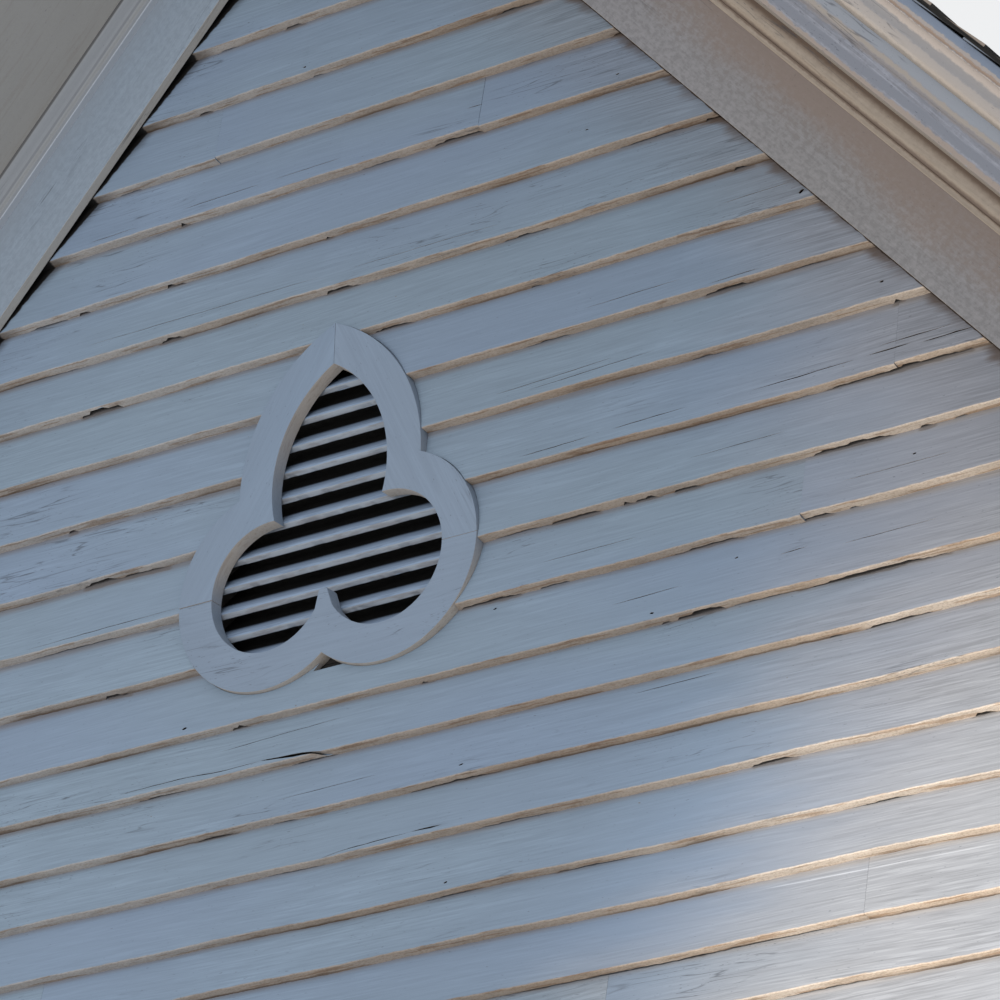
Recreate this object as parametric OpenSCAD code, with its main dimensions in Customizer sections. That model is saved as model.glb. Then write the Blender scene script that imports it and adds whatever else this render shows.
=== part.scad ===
/* [Gable] */
// Slope of the roof, in degrees from level
pitch = 48; // [44:0.5:52]
// Height from the plate's underside to the point where the friezes' lower edges meet
frieze_apex = 2567; // [2400:1:2800]

/* [Framing] */
// Depth of the studs and the plate, front to back
stud_d = 90; // [80:1:110]
// Thickness of the studs, the plate and the rafters
stud_w = 45; // [38:1:50]
// Distance from one stud's centre to the next
stud_pitch = 400; // [380:5:450]
// Depth of the end rafters, square to the slope
rafter_h = 140; // [125:1:150]
// Thickness of the wall sheathing
sheath_t = 20; // [16:1:25]

/* [Clapboards] */
// Distance from the sheathing to the front of a clapboard's lower edge
siding_t = 25; // [23:0.5:28]
// Thickness of a clapboard's lower edge
butt_t = 19.5; // [14:0.5:20]
// Exposed height of the lower courses
lower_exposure = 96; // [90:1:100]
// Exposed height of the upper courses
upper_exposure = 108; // [102:1:114]
// Number of courses laid to the lower height
lower_courses = 9; // [8:1:9]

/* [Vent] */
// Height of the two round lobes' centres above the plate's underside
vent_z = 1086; // [1070:1:1110]
// Radius of each round lobe of the opening
lobe_r = 118; // [110:1:124]
// Distance of each lobe's centre from the middle
lobe_x = 117; // [112:1:117]
// Radius of the two arcs that form the pointed arch
arch_r = 239; // [232:1:250]
// Distance of each arc's centre from the middle
arch_x = 121; // [116:1:128]
// Height of the arcs' centres above the lobes' centres
arch_z = 177; // [165:1:190]
// Width of the casing around the opening
casing_w = 69; // [60:1:78]
// Thickness of the casing boards
casing_t = 27; // [25:0.5:32]
// Height of the joints between the casing boards above the lobes' centres
joint_z = 1; // [-10:1:20]
// Width of the open joint between two casing boards
joint_gap = 1; // [0.5:0.1:2]

/* [Louvre] */
// Thickness of a slat
slat_t = 12; // [9:0.5:15]
// Width of a slat, along its slope
slat_w = 110; // [96:1:110]
// Slope of the slats, in degrees from level
slat_tilt = 45; // [45:1:48]
// Height from one slat to the next
slat_pitch = 46.5; // [42:0.5:52]
// Thickness of the louvre frame's boards
frame_t = 22; // [18:1:28]
// Depth of the louvre frame, front to back
frame_d = 88; // [88:1:100]
// How far the frame's sides stay behind the casing
frame_lap = 16; // [8:1:24]
// Height of the lowest slat's foot above the frame's bottom board
first_slat = 19; // [10:1:30]
// Thickness of the insect screen
screen_t = 0.8; // [0.5:0.1:1.5]

/* [Cornice] */
// Thickness of the frieze boards
frieze_t = 19; // [16:0.5:24]
// Width of the frieze that shows below the bed mould
frieze_show = 133; // [115:1:150]
// Height of the bed mould
bed_h = 45; // [36:1:54]
// Projection of the bed mould in front of the frieze
bed_out = 32; // [26:1:40]
// Distance from the sheathing to the face of the lower fascia
overhang = 350; // [300:5:400]
// Thickness of the soffit boards
soffit_t = 16; // [12:1:20]
// Height of the lower fascia that shows under the upper one
fascia_show = 42; // [34:1:50]
// Thickness of the lower fascia
fascia_t = 19; // [16:0.5:24]
// Height of the upper fascia that shows under the crown mould
band_show = 29; // [22:1:36]
// Thickness of the upper fascia
band_t = 10; // [8:0.5:14]
// Height of the crown mould's curved part
crown_h = 47; // [40:1:54]
// Projection of the crown mould in front of the upper fascia
crown_out = 46; // [38:1:54]
// Height of the flat edge along the crown mould's top
crown_edge = 24; // [18:1:30]

/* [Roof] */
// Thickness of the roof deck boards
deck_t = 20; // [16:1:25]
// Thickness of a shingle's lower edge
shingle_t = 7; // [5:0.5:9]
// Exposed length of a shingle course
shingle_exposure = 130; // [120:1:150]
// How far the shingles reach past the crown mould
shingle_out = 12; // [8:1:20]
// Distance from one lookout to the next along the slope
lookout_pitch = 610; // [560:10:700]
// Length of each side of the ridge cap, down the slope
cap_w = 140; // [120:1:160]

/* [Hidden] */
$fn = 96;
// What each course was set higher or lower than its exposure, by eye, from the bottom up
set_by_eye = [2, 6, -4, 2, -10, 7, -6, -1, -6, 6, 0, 1, 8, 1, 3, -7, 0, 6, -3, 6, 10];
// Distances in the wall's plane, square to the slope, from the friezes' lower edge
soffit_u = frieze_show + bed_h;
box_u = soffit_u + soffit_t;
band_u = soffit_u + fascia_show;
crown_u = band_u + band_show;
roof_u = crown_u + crown_h + crown_edge;
deck_u = roof_u - deck_t;
rafter_u = deck_u - rafter_h;
lap_u = soffit_u;
// Places front to back, from the middle of the studs
sheath_y = -stud_d / 2 - sheath_t;
rear_y = stud_d / 2;
band_d = overhang + band_t;
front_d = band_d + crown_out + shingle_out;
// The rake's sides: reach past the mitre and past the base before they are cut
over = 400;
rake_len = (frieze_apex + roof_u / cos(pitch)) / sin(pitch) + 2 * over;
far = 2 * rake_len;
// The louvre frame's clear opening, in the wall's plane
clear_x = lobe_x + lobe_r + frame_lap;
clear_low = -lobe_r - frame_lap;
arch_top = arch_z + sqrt(arch_r * arch_r - arch_x * arch_x);
slat_low = clear_low + first_slat;
slat_count = floor((arch_top - slat_low) / slat_pitch) + 1;
slat_rise = slat_w * sin(slat_tilt) + slat_t * cos(slat_tilt);
clear_high = slat_low + (slat_count - 1) * slat_pitch + slat_rise + 4;
rough_x = clear_x + frame_t;
rough_low = vent_z + clear_low - frame_t;
rough_high = vent_z + clear_high + frame_t;
// The courses cut by the casing
casing_low = vent_z - lobe_r - casing_w;
casing_high = vent_z + arch_z + sqrt(pow(arch_r + casing_w, 2) - arch_x * arch_x);
// How deep the slats' ends and the casing's face stand from what they meet
housing = 6;
slat_set = 0.5;

WALL = "#c3ccd4";
TRIM = "#c6cace";
WARM = "#cbc6bd";
WOOD = "#b79b74";
ROOF = "#3a3a3c";

// Half the gable's width at height z, out to distance u from the friezes' lower edge
function half(u, z) = (frieze_apex + u / cos(pitch) - z) / tan(pitch);
// Height of the rake line at distance u, above a place x
function rake_z(u, x) = frieze_apex + u / cos(pitch) - abs(x) * tan(pitch);
function exposure(i) = (i < lower_courses ? lower_exposure : upper_exposure)
    + (i < len(set_by_eye) ? set_by_eye[i] : 0);
function course_z(i) = i == 0 ? 0 : course_z(i - 1) + exposure(i - 1);
function first_above(z, i = 0) = course_z(i) > z ? i : first_above(z, i + 1);
function arc(cx, cy, r, from, to, n = 6) =
    [for (k = [0:n]) [cx + r * cos(from + (to - from) * k / n), cy + r * sin(from + (to - from) * k / n)]];

first_split = first_above(casing_low);
last_split = first_above(casing_high) - 2;
course_count = first_above(rake_z(lap_u, 0));

// Cut the left or right half of the shape, and what lies below the plate
module keep_half() {
    intersection() {
        children();
        translate([0, -far / 2, 0]) cube([far, far, far]);
    }
}

// Run a profile of [distance from the frieze's edge, distance from the sheathing] down the right rake
module rake_run() {
    keep_half()
        translate([0, sheath_y, frieze_apex])
            rotate([180, pitch - 90, 0])
                translate([0, 0, -over])
                    linear_extrude(rake_len + over) children();
}

// A bar of the rake between two distances from the frieze's edge and two from the sheathing
module rake_bar(u0, u1, d0, d1) {
    rake_run() translate([u0, d0]) square([u1 - u0, d1 - d0]);
}

// The gable's face out to distance u, between two heights, as a prism from y0 to y1
module gable_prism(u, z0, z1, y0, y1) {
    top = min(z1, rake_z(u, 0));
    points = top < z1
        ? [[-half(u, z0), z0], [half(u, z0), z0], [0, top]]
        : [[-half(u, z0), z0], [half(u, z0), z0], [half(u, z1), z1], [-half(u, z1), z1]];
    translate([0, y1, 0]) rotate([90, 0, 0]) linear_extrude(y1 - y0) polygon(points);
}

// Outline of the vent, grown by a margin, with the lobes' centres level with the origin
module vent_outline(margin) {
    for (side = [-1, 1]) translate([side * lobe_x, 0]) circle(lobe_r + margin);
    intersection() {
        translate([-arch_x, arch_z]) circle(arch_r + margin);
        translate([arch_x, arch_z]) circle(arch_r + margin);
        translate([-arch_r, 0]) square([2 * arch_r, 2 * (arch_r + arch_z)]);
    }
}

// Small open triangle that the clapboards leave under the casing's lower notch
module notch_gap() {
    tip = -sqrt(pow(lobe_r + casing_w, 2) - lobe_x * lobe_x);
    polygon([[0, tip + 4], [-24, tip - 24], [36, tip - 24]]);
}

module vent_prism(y0, y1) {
    translate([0, y1, vent_z]) rotate([90, 0, 0]) linear_extrude(y1 - y0) children();
}

module bottom_plate() {
    color(WOOD) gable_prism(deck_u, 0, stud_w, -stud_d / 2, stud_d / 2);
}

// A stud at x, cut to the slope: its front half stops under the rafter and its rear half laps it
module stud(x) {
    low = stud_w;
    difference() {
        intersection() {
            translate([x - stud_w / 2, -stud_d / 2, low]) cube([stud_w, stud_d, rake_z(deck_u, 0)]);
            gable_prism(deck_u, low, rake_z(deck_u, 0), -stud_d, stud_d);
        }
        rafter_space();
    }
}

// What the two end rafters take up
module rafter_space() {
    for (side = [0, 1]) mirror([side, 0, 0])
        keep_half()
            translate([0, -stud_d / 2 + stud_w, frieze_apex])
                rotate([180, pitch - 90, 0])
                    translate([rafter_u, 0, -over]) cube([rafter_h + over, stud_w + over, rake_len + over]);
}

module studs() {
    color(WOOD)
        for (k = [1:5])
            if (rake_z(rafter_u, k * stud_pitch + rough_x + stud_w) > stud_w + 60)
                stud(k * stud_pitch + rough_x + stud_w / 2);
}

module trimmer() {
    color(WOOD) stud(rough_x + stud_w / 2);
}

module vent_header() {
    color(WOOD)
        translate([-rough_x, -stud_d / 2, rough_high]) cube([2 * rough_x, stud_d, stud_w]);
}

module vent_sill() {
    color(WOOD)
        translate([-rough_x, -stud_d / 2, rough_low - stud_w]) cube([2 * rough_x, stud_d, stud_w]);
}

module cripple_studs() {
    color(WOOD) {
        translate([-stud_w / 2, -stud_d / 2, stud_w]) cube([stud_w, stud_d, rough_low - 2 * stud_w]);
        intersection() {
            stud(0);
            translate([-stud_w, -stud_d, rough_high + stud_w]) cube([2 * stud_w, 2 * stud_d, far]);
        }
    }
}

module rafter() {
    color(WOOD)
        intersection() {
            rake_bar(rafter_u, deck_u, -sheath_t - stud_w, -sheath_t);
            translate([0, -far / 2, stud_w]) cube([far, far, far]);
        }
}

module sheathing(z0, z1) {
    color(WOOD) gable_prism(deck_u, z0, z1, sheath_y, -stud_d / 2);
}

module sheathing_side() {
    keep_half()
        difference() {
            sheathing(rough_low, rough_high);
            translate([-rough_x, -far / 2, 0]) cube([2 * rough_x, far, far]);
        }
}

// Clapboards from one course to another: each board's foot stands square to its sloping face
module clapboards(from, to) {
    tilt = function (i) asin(butt_t / exposure(i));
    foot = function (i) [siding_t - butt_t * cos(tilt(max(i, 1) - 1)), course_z(i) - butt_t * sin(tilt(max(i, 1) - 1))];
    points = concat(
        [[0, max(foot(from)[1], 0)]],
        [for (i = [from:to - 1]) each [
            i == 0 ? [siding_t - butt_t * cos(tilt(0)), 0] : foot(i),
            [siding_t, course_z(i)]]],
        [foot(to), [0, foot(to)[1]]]);
    color(WALL)
        difference() {
            intersection() {
                translate([-far / 2, sheath_y, 0]) rotate([90, 0, 90])
                    linear_extrude(far) mirror([1, 0]) polygon(points);
                gable_prism(lap_u, 0, rake_z(lap_u, 0) + over, sheath_y - siding_t, sheath_y);
            }
            vent_prism(sheath_y - 2 * siding_t, sheath_y + sheath_t) {
                vent_outline(casing_w);
                notch_gap();
            }
        }
}

module siding_side() {
    keep_half() clapboards(first_split, last_split + 1);
}

// One board of the casing: what lies above or below the joints of the whole ring
module casing_ring() {
    color(TRIM)
        difference() {
            vent_prism(sheath_y - casing_t, sheath_y) vent_outline(casing_w);
            vent_prism(sheath_y - casing_t - 1, sheath_y + 1) vent_outline(0);
        }
}

module casing_side() {
    intersection() {
        casing_ring();
        translate([joint_gap / 2, -far / 2, vent_z + joint_z + joint_gap / 2]) cube([far, far, far]);
    }
}

module casing_bottom() {
    intersection() {
        casing_ring();
        translate([-far / 2, -far / 2, vent_z + joint_z - joint_gap / 2 - far]) cube([far, far, far]);
    }
}

// Rectangular frame behind the casing, housed inside for the slats' ends
module louvre_frame() {
    color(WOOD)
        difference() {
            translate([-rough_x, sheath_y, rough_low]) cube([2 * rough_x, frame_d, rough_high - rough_low]);
            translate([-clear_x, sheath_y - 1, vent_z + clear_low])
                cube([2 * clear_x, frame_d + 2, clear_high - clear_low]);
            for (side = [-1, 1]) slats(clear_x * 2 + housing * 2);
        }
}

// Slats that slope down to the front, each with its foot just behind the casing
module slats(length) {
    for (k = [0:slat_count - 1])
        translate([-length / 2, sheath_y + slat_t * sin(slat_tilt) + slat_set, vent_z + slat_low + k * slat_pitch])
            rotate([slat_tilt, 0, 0]) cube([length, slat_w, slat_t]);
}

module louvre_slats() {
    color(TRIM) slats(clear_x * 2 + housing * 2);
}

module insect_screen() {
    color("#5a5a58")
        translate([-rough_x, sheath_y + frame_d, rough_low]) cube([2 * rough_x, screen_t, rough_high - rough_low]);
}

module frieze() {
    color(TRIM) rake_bar(0, soffit_u, siding_t, siding_t + frieze_t);
}

// Flat fillet, small hollow, rounded member and top edge, below the soffit
module bed_mould() {
    fillet_h = bed_h * 0.2;
    fillet_out = bed_out * 0.45;
    quirk = bed_h * 0.07;
    round_r = bed_out * 0.32;
    round_u = frieze_show + fillet_h + quirk + round_r;
    face = siding_t + frieze_t;
    color(WARM)
        rake_run()
            polygon(concat(
                [[frieze_show, face], [frieze_show, face + fillet_out],
                    [frieze_show + fillet_h, face + fillet_out],
                    [frieze_show + fillet_h + quirk, face + fillet_out - quirk]],
                arc(round_u, face + fillet_out, round_r, 180, 60, 8),
                arc(soffit_u - bed_h * 0.16, face + bed_out * 0.86, bed_out * 0.14, 180, 90, 4),
                [[soffit_u, face + bed_out], [soffit_u, face]]));
}

module soffit() {
    color(TRIM) rake_bar(soffit_u, box_u, 0, overhang - fascia_t);
}

module barge_rafter() {
    color(WOOD) rake_bar(box_u, deck_u, overhang - fascia_t - stud_w, overhang - fascia_t);
}

// Blocks from the wall out to the barge rafter, spaced down the slope
module lookouts() {
    first = 150;
    count = floor((rake_len - 2 * over - first) / lookout_pitch);
    color(WOOD)
        translate([0, sheath_y, frieze_apex])
            rotate([180, pitch - 90, 0])
                for (k = [0:count - 1])
                    translate([box_u, 0, first + k * lookout_pitch])
                        cube([deck_u - box_u, overhang - fascia_t - stud_w, stud_w]);
}

module lower_fascia() {
    color(TRIM) rake_bar(soffit_u, deck_u, overhang - fascia_t, overhang);
}

// Second fascia on the face of the first, with its lower corner taken off
module upper_fascia() {
    bevel = band_t * 0.4;
    color(TRIM)
        rake_run()
            polygon([[band_u, overhang], [band_u, band_d - bevel], [band_u + bevel, band_d],
                [deck_u, band_d], [deck_u, overhang]]);
}

// Cyma: a round below and a hollow above, then a quirk and a flat edge
module crown_mould() {
    half_h = crown_h / 2;
    quirk = 3;
    color(WARM)
        rake_run()
            polygon(concat(
                [[crown_u, band_d]],
                [for (k = [1:8]) [crown_u + half_h * (1 - cos(k * 90 / 8)), band_d + crown_out / 2 * sin(k * 90 / 8)]],
                [for (k = [1:8]) [crown_u + half_h + half_h * sin(k * 90 / 8),
                    band_d + crown_out / 2 + (crown_out / 2 - quirk) * (1 - cos(k * 90 / 8))]],
                [[crown_u + crown_h + quirk, band_d + crown_out - quirk],
                    [crown_u + crown_h + quirk, band_d + crown_out],
                    [roof_u, band_d + crown_out], [roof_u, band_d]]));
}

module roof_deck() {
    color(WOOD) rake_bar(deck_u, roof_u, -sheath_t - stud_d, band_d);
}

// Lapped courses of shingles down the slope
module shingles() {
    count = ceil(rake_len / shingle_exposure);
    rise = shingle_t;
    color(ROOF)
        keep_half()
            translate([0, sheath_y - front_d, frieze_apex])
                rotate([0, pitch, 0])
                    rotate([-90, 0, 0]) mirror([0, 1])
                        linear_extrude(front_d + sheath_t + stud_d)
                            polygon(concat(
                                [[-over, roof_u]],
                                [for (k = [-3:count]) each [
                                    [k * shingle_exposure, roof_u + rise * 2],
                                    [k * shingle_exposure, roof_u + rise]]],
                                [[(count + 1) * shingle_exposure, roof_u + rise], [(count + 1) * shingle_exposure, roof_u]]));
}

module ridge_cap() {
    low = roof_u + 2 * shingle_t;
    color(ROOF)
        translate([0, sheath_y + sheath_t + stud_d, 0]) rotate([90, 0, 0])
            linear_extrude(front_d + sheath_t + stud_d)
                polygon([[0, rake_z(low, 0)], [cap_w * cos(pitch), rake_z(low, cap_w * cos(pitch))],
                    [cap_w * cos(pitch), rake_z(low + shingle_t, cap_w * cos(pitch))],
                    [0, rake_z(low + shingle_t, 0)],
                    [-cap_w * cos(pitch), rake_z(low + shingle_t, cap_w * cos(pitch))],
                    [-cap_w * cos(pitch), rake_z(low, cap_w * cos(pitch))]]);
}

module left() {
    mirror([1, 0, 0]) children();
}

bottom_plate();
left() studs();  // studs_left
studs();  // studs_right
left() trimmer();  // trimmer_left
trimmer();  // trimmer_right
vent_header();
vent_sill();
cripple_studs();
left() rafter();  // rafter_left
rafter();  // rafter_right
sheathing(0, rough_low);  // sheathing_lower
left() sheathing_side();  // sheathing_left
sheathing_side();  // sheathing_right
sheathing(rough_high, rake_z(deck_u, 0) + over);  // sheathing_upper
clapboards(0, first_split);  // siding_lower
left() siding_side();  // siding_left
siding_side();  // siding_right
clapboards(last_split + 1, course_count);  // siding_upper
left() casing_side();  // casing_left
casing_side();  // casing_right
casing_bottom();
louvre_frame();
louvre_slats();
insect_screen();
left() frieze();  // frieze_left
frieze();  // frieze_right
left() bed_mould();  // bed_mould_left
bed_mould();  // bed_mould_right
left() soffit();  // soffit_left
soffit();  // soffit_right
left() lookouts();  // lookouts_left
lookouts();  // lookouts_right
left() barge_rafter();  // barge_rafter_left
barge_rafter();  // barge_rafter_right
left() lower_fascia();  // lower_fascia_left
lower_fascia();  // lower_fascia_right
left() upper_fascia();  // upper_fascia_left
upper_fascia();  // upper_fascia_right
left() crown_mould();  // crown_mould_left
crown_mould();  // crown_mould_right
left() roof_deck();  // roof_deck_left
roof_deck();  // roof_deck_right
left() shingles();  // shingles_left
shingles();  // shingles_right
ridge_cap();
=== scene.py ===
# %% [markdown]
# A timber gable end: clapboards round a trefoil louvred vent, under a boxed raking cornice.
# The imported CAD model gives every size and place. This lesson dresses it, piece by piece, as a joiner built it.

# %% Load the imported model
import math
import random
from contextlib import contextmanager

import bmesh
import bpy
from mathutils import Matrix, Vector


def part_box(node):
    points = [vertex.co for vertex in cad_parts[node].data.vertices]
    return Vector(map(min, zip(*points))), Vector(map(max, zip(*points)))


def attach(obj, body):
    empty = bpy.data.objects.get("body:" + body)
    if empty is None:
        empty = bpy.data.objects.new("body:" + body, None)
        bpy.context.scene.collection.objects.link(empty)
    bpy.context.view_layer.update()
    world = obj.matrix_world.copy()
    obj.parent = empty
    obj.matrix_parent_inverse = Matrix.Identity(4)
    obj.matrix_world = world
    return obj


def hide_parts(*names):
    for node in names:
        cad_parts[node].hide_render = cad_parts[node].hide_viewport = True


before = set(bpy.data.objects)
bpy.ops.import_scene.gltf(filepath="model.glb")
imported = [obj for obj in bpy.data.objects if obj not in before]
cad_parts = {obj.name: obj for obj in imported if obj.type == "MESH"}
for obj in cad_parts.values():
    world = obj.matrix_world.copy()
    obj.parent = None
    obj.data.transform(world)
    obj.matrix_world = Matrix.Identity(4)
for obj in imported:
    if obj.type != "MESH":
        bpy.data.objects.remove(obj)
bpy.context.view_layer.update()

# %% [markdown]
# The photograph was taken from the ground, to the right of the gable, with a long lens.
# The camera could be aimed with a constraint, but three turns say the same thing and can be read:
# round the vertical to the left, up from level, and a small roll of the hand.

# %% Camera
camera_data = bpy.data.cameras.new("camera")
camera_data.sensor_width, camera_data.lens = 36, 175.15
camera_data.clip_start, camera_data.clip_end = 0.1, 100
camera = bpy.data.objects.new("camera", camera_data)
bpy.context.scene.collection.objects.link(camera)
turn_left, look_up, roll = (math.radians(a) for a in (34.99, 25.13, 1.53))
camera.matrix_world = (Matrix.Translation((4.4284, -5.9205, -2.2073)) @ Matrix.Rotation(turn_left, 4, "Z")
                       @ Matrix.Rotation(math.pi / 2 + look_up, 4, "X") @ Matrix.Rotation(roll, 4, "Z"))
bpy.context.scene.camera = camera
bpy.context.scene.view_settings.view_transform = "Standard"
print("camera", [round(v, 3) for v in camera.location], "lens", camera_data.lens)

# %% [markdown]
# Shader maths reads best as plain expressions. One small class wraps a socket, so that + - * / add Math nodes,
# and one method adds any other node from its settings and the values or links of its sockets.


# %% Shader expressions
class Shade:
    """A value or colour inside one material's nodes."""

    def __init__(self, tree, socket=None):
        self.tree, self.socket = tree, socket

    def node(self, kind, settings=None, sockets=None, out=0):
        made = self.tree.nodes.new("ShaderNode" + kind)
        for name, value in (settings or {}).items():
            setattr(made, name, value)
        for name, value in (sockets or {}).items():
            if isinstance(value, Shade):
                self.tree.links.new(value.socket, made.inputs[name])
            else:
                made.inputs[name].default_value = value
        return Shade(self.tree, made.outputs[out])

    def maths(self, operation, first, second=0.0):
        return self.node("Math", {"operation": operation}, {0: first, 1: second})

    def __add__(self, other): return self.maths("ADD", self, other)
    def __radd__(self, other): return self.maths("ADD", other, self)
    def __sub__(self, other): return self.maths("SUBTRACT", self, other)
    def __rsub__(self, other): return self.maths("SUBTRACT", other, self)
    def __mul__(self, other): return self.maths("MULTIPLY", self, other)
    def __rmul__(self, other): return self.maths("MULTIPLY", other, self)

    def fade(self, low, high, top=1.0):
        """0 below low, top above high, smooth between. With low over high it falls instead."""
        return self.node("MapRange", {"interpolation_type": "SMOOTHSTEP"}, {0: self, 1: low, 2: high, 4: top})

    def mix(self, first, second):
        """first where this mask is 0, second where it is 1."""
        return self.node("Mix", {"data_type": "RGBA"}, {0: self, 6: first, 7: second}, out=2)

    def tone(self, colour, factor):
        """The colour times a factor, or a factor for each of red, green and blue, where this mask is 1."""
        factors = factor if isinstance(factor, tuple) else (factor, factor, factor)
        return self.node("Mix", {"data_type": "RGBA", "blend_type": "MULTIPLY"}, {0: self, 6: colour, 7: (*factors, 1)},
                         out=2)

    def noise(self, scale, stretch=(1, 1, 1), detail=3.0, rough=0.55):
        """Noise on this place, with features stretch times as long in each direction."""
        place = self.node("VectorMath", {"operation": "DIVIDE"}, {0: self, 1: stretch})
        return self.node("TexNoise", None, {"Vector": place, "Scale": scale, "Detail": detail, "Roughness": rough})

    def place(self, axis):
        """One coordinate of this vector: 0 is x, 1 is y, 2 is z."""
        return self.node("SeparateXYZ", None, {0: self}, out=axis)

    def along(self, direction):
        """How far this vector reaches in a direction."""
        return self.node("VectorMath", {"operation": "DOT_PRODUCT"}, {0: self, 1: direction}, out=1)

    def own(self, name):
        """A number that is kept in the piece's own mesh."""
        return self.node("Attribute", {"attribute_name": name}, out=2)


def rgb(red, green, blue):
    """A colour as it is picked from a picture, 0 to 255, made linear for a node."""
    return tuple(c / 12.92 if c <= 0.04045 else ((c + 0.055) / 1.055) ** 2.4
                 for c in (v / 255 for v in (red, green, blue))) + (1.0,)


def new_finish(name):
    """A material with its surface shader. Returns the material, a Shade to build on, and the shader."""
    finish = bpy.data.materials.new(name)
    finish.use_nodes = True
    tree = finish.node_tree
    surface = tree.nodes["Principled BSDF"]
    return finish, Shade(tree), surface


def plug(shade, surface, name):
    shade.tree.links.new(shade.socket, surface.inputs[name])


# %% [markdown]
# The studio is a pale floor under a plain white sky, so a colour renders about as it is written.
# The gable is seen from below its own foot, so the floor lets a view from underneath pass through it.
# Light on a real gable comes up from the ground as much as down from the sky. A wide lamp stands low in front for that:
# it fills the boards evenly, lights their undersides, and throws no shadow below a butt. A soft spot lies on the wall's
# lower right, where the light is strongest.

# %% Studio
world = bpy.data.worlds.new("studio")
bpy.context.scene.world = world
world.use_nodes = True
air = Shade(world.node_tree)
height = air.node("TexCoord").place(2)
studio_light = height.fade(-0.05, 0.05).mix((0.56, 0.553, 0.543, 1), (0.80, 0.80, 0.80, 1))
backdrop = air.node("LightPath").mix(studio_light, (0.86, 0.87, 0.88, 1))
air.tree.links.new(backdrop.socket, air.tree.nodes["Background"].inputs["Color"])

bpy.ops.object.select_all(action="DESELECT")
bpy.ops.mesh.primitive_plane_add(size=60, location=(0, 0, -0.001))
floor = bpy.context.object
floor.name = "floor"
finish, base, surface = new_finish("pale_floor")
surface.inputs["Base Color"].default_value = (0.80, 0.79, 0.775, 1)
surface.inputs["Roughness"].default_value = 0.9
from_below = base.node("NewGeometry", out=6)
see_through = base.node("MixShader", None, {0: from_below, 2: base.node("BsdfTransparent")})
base.tree.links.new(surface.outputs[0], see_through.socket.node.inputs[1])
base.tree.links.new(see_through.socket, base.tree.nodes["Material Output"].inputs["Surface"])
floor.data.materials.append(finish)
# Only the camera sees the floor. The light that it would send up comes from the lower half of the sky, which is quicker
floor.visible_diffuse = floor.visible_glossy = floor.visible_transmission = floor.visible_shadow = False
# The lamps stand near the floor and would burn a white band on it, so their light leaves it out
not_lit = bpy.data.collections.new("not_lit_by_lamps")
not_lit.objects.link(floor)
not_lit.collection_objects[0].light_linking.link_state = "EXCLUDE"


def lamp(name, kind, place, aim, power, **settings):
    """A lamp aimed at a point, not itself seen by the camera."""
    light = bpy.data.lights.new(name, kind)
    light.energy = power
    for key, value in settings.items():
        setattr(light, key, value)
    holder = bpy.data.objects.new(name, light)
    bpy.context.scene.collection.objects.link(holder)
    holder.location = place
    holder.rotation_mode = "QUATERNION"
    holder.rotation_quaternion = (Vector(aim) - Vector(place)).to_track_quat("-Z", "Y")
    holder.visible_camera = False
    holder.light_linking.receiver_collection = not_lit


lamp("front", "AREA", (0.0, -4.6, 0.62), (0.1, -0.1, 1.45), 95, shape="RECTANGLE", size=4.5, size_y=1.2)
lamp("back", "AREA", (3.0, 7.0, 4.0), (0, 0, 1.3), 160, size=4)
lamp("glow", "SPOT", (1.9, -4.5, 0.35), (1.25, -0.08, 0.13), 750, spot_size=math.radians(19.8), spot_blend=1.0,
     shadow_soft_size=0.25)
print("studio: floor, sky, two soft lamps and a soft spot")

# %% [markdown]
# Both rakes fall at 48 degrees. A place on the cornice is easiest to give as a joiner measures it: the distance down
# the slope, the distance square to it from the friezes' lower edges, and the distance in front of the sheathing.

# %% Rake measures
MM = 0.001
SLOPE = math.radians(48)
WALL = -0.065
APEX = 2.567


def rake(side, down, square, proud):
    """The point at those three distances, in mm, on the right rake (side 1) or the left (side -1)."""
    return Vector((side * (down * math.cos(SLOPE) + square * math.sin(SLOPE)) * MM, WALL - proud * MM,
                   APEX + (square * math.cos(SLOPE) - down * math.sin(SLOPE)) * MM))


def rake_normal(side):
    return Vector((side * math.sin(SLOPE), 0, math.cos(SLOPE)))


def half_width(square, z):
    """Half the gable's width in mm at height z, out to that distance square to the rake."""
    return (APEX / MM + square / math.cos(SLOPE) - z) / math.tan(SLOPE)


print("the soffit's line meets the floor at", round(half_width(178, 0)), "mm from the middle")

# %% [markdown]
# Old paint is one finish with many faults. Its faces are painted a cool blue grey, as white paint looks in the shade of
# an open sky, and the surfaces facing down take a warmer under colour, painted light from the sunlit ground below.
# Brush marks and raised grain run along the board, and their light and dark lines are partly painted light and shade,
# as a low light across the grain shows them. Paint cracks in short dashes between them, and here and there a flake is
# gone. Bands across a rake's section paint shade into hollows and contact lines and light onto edges that turn to it.
# A picture of old paint could be mapped on, but noise stretched along the grain never tiles or blurs.
# The size of each feature is set in the noise: 230 is about 4 mm, and the stretch makes it a hundred.


# %% Painted wood
def square_to_rake(spot, side):
    """The shader's own measure square to a rake, in metres."""
    return spot.along((side * math.sin(SLOPE), 0, math.cos(SLOPE))) - APEX * math.cos(SLOPE)


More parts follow.
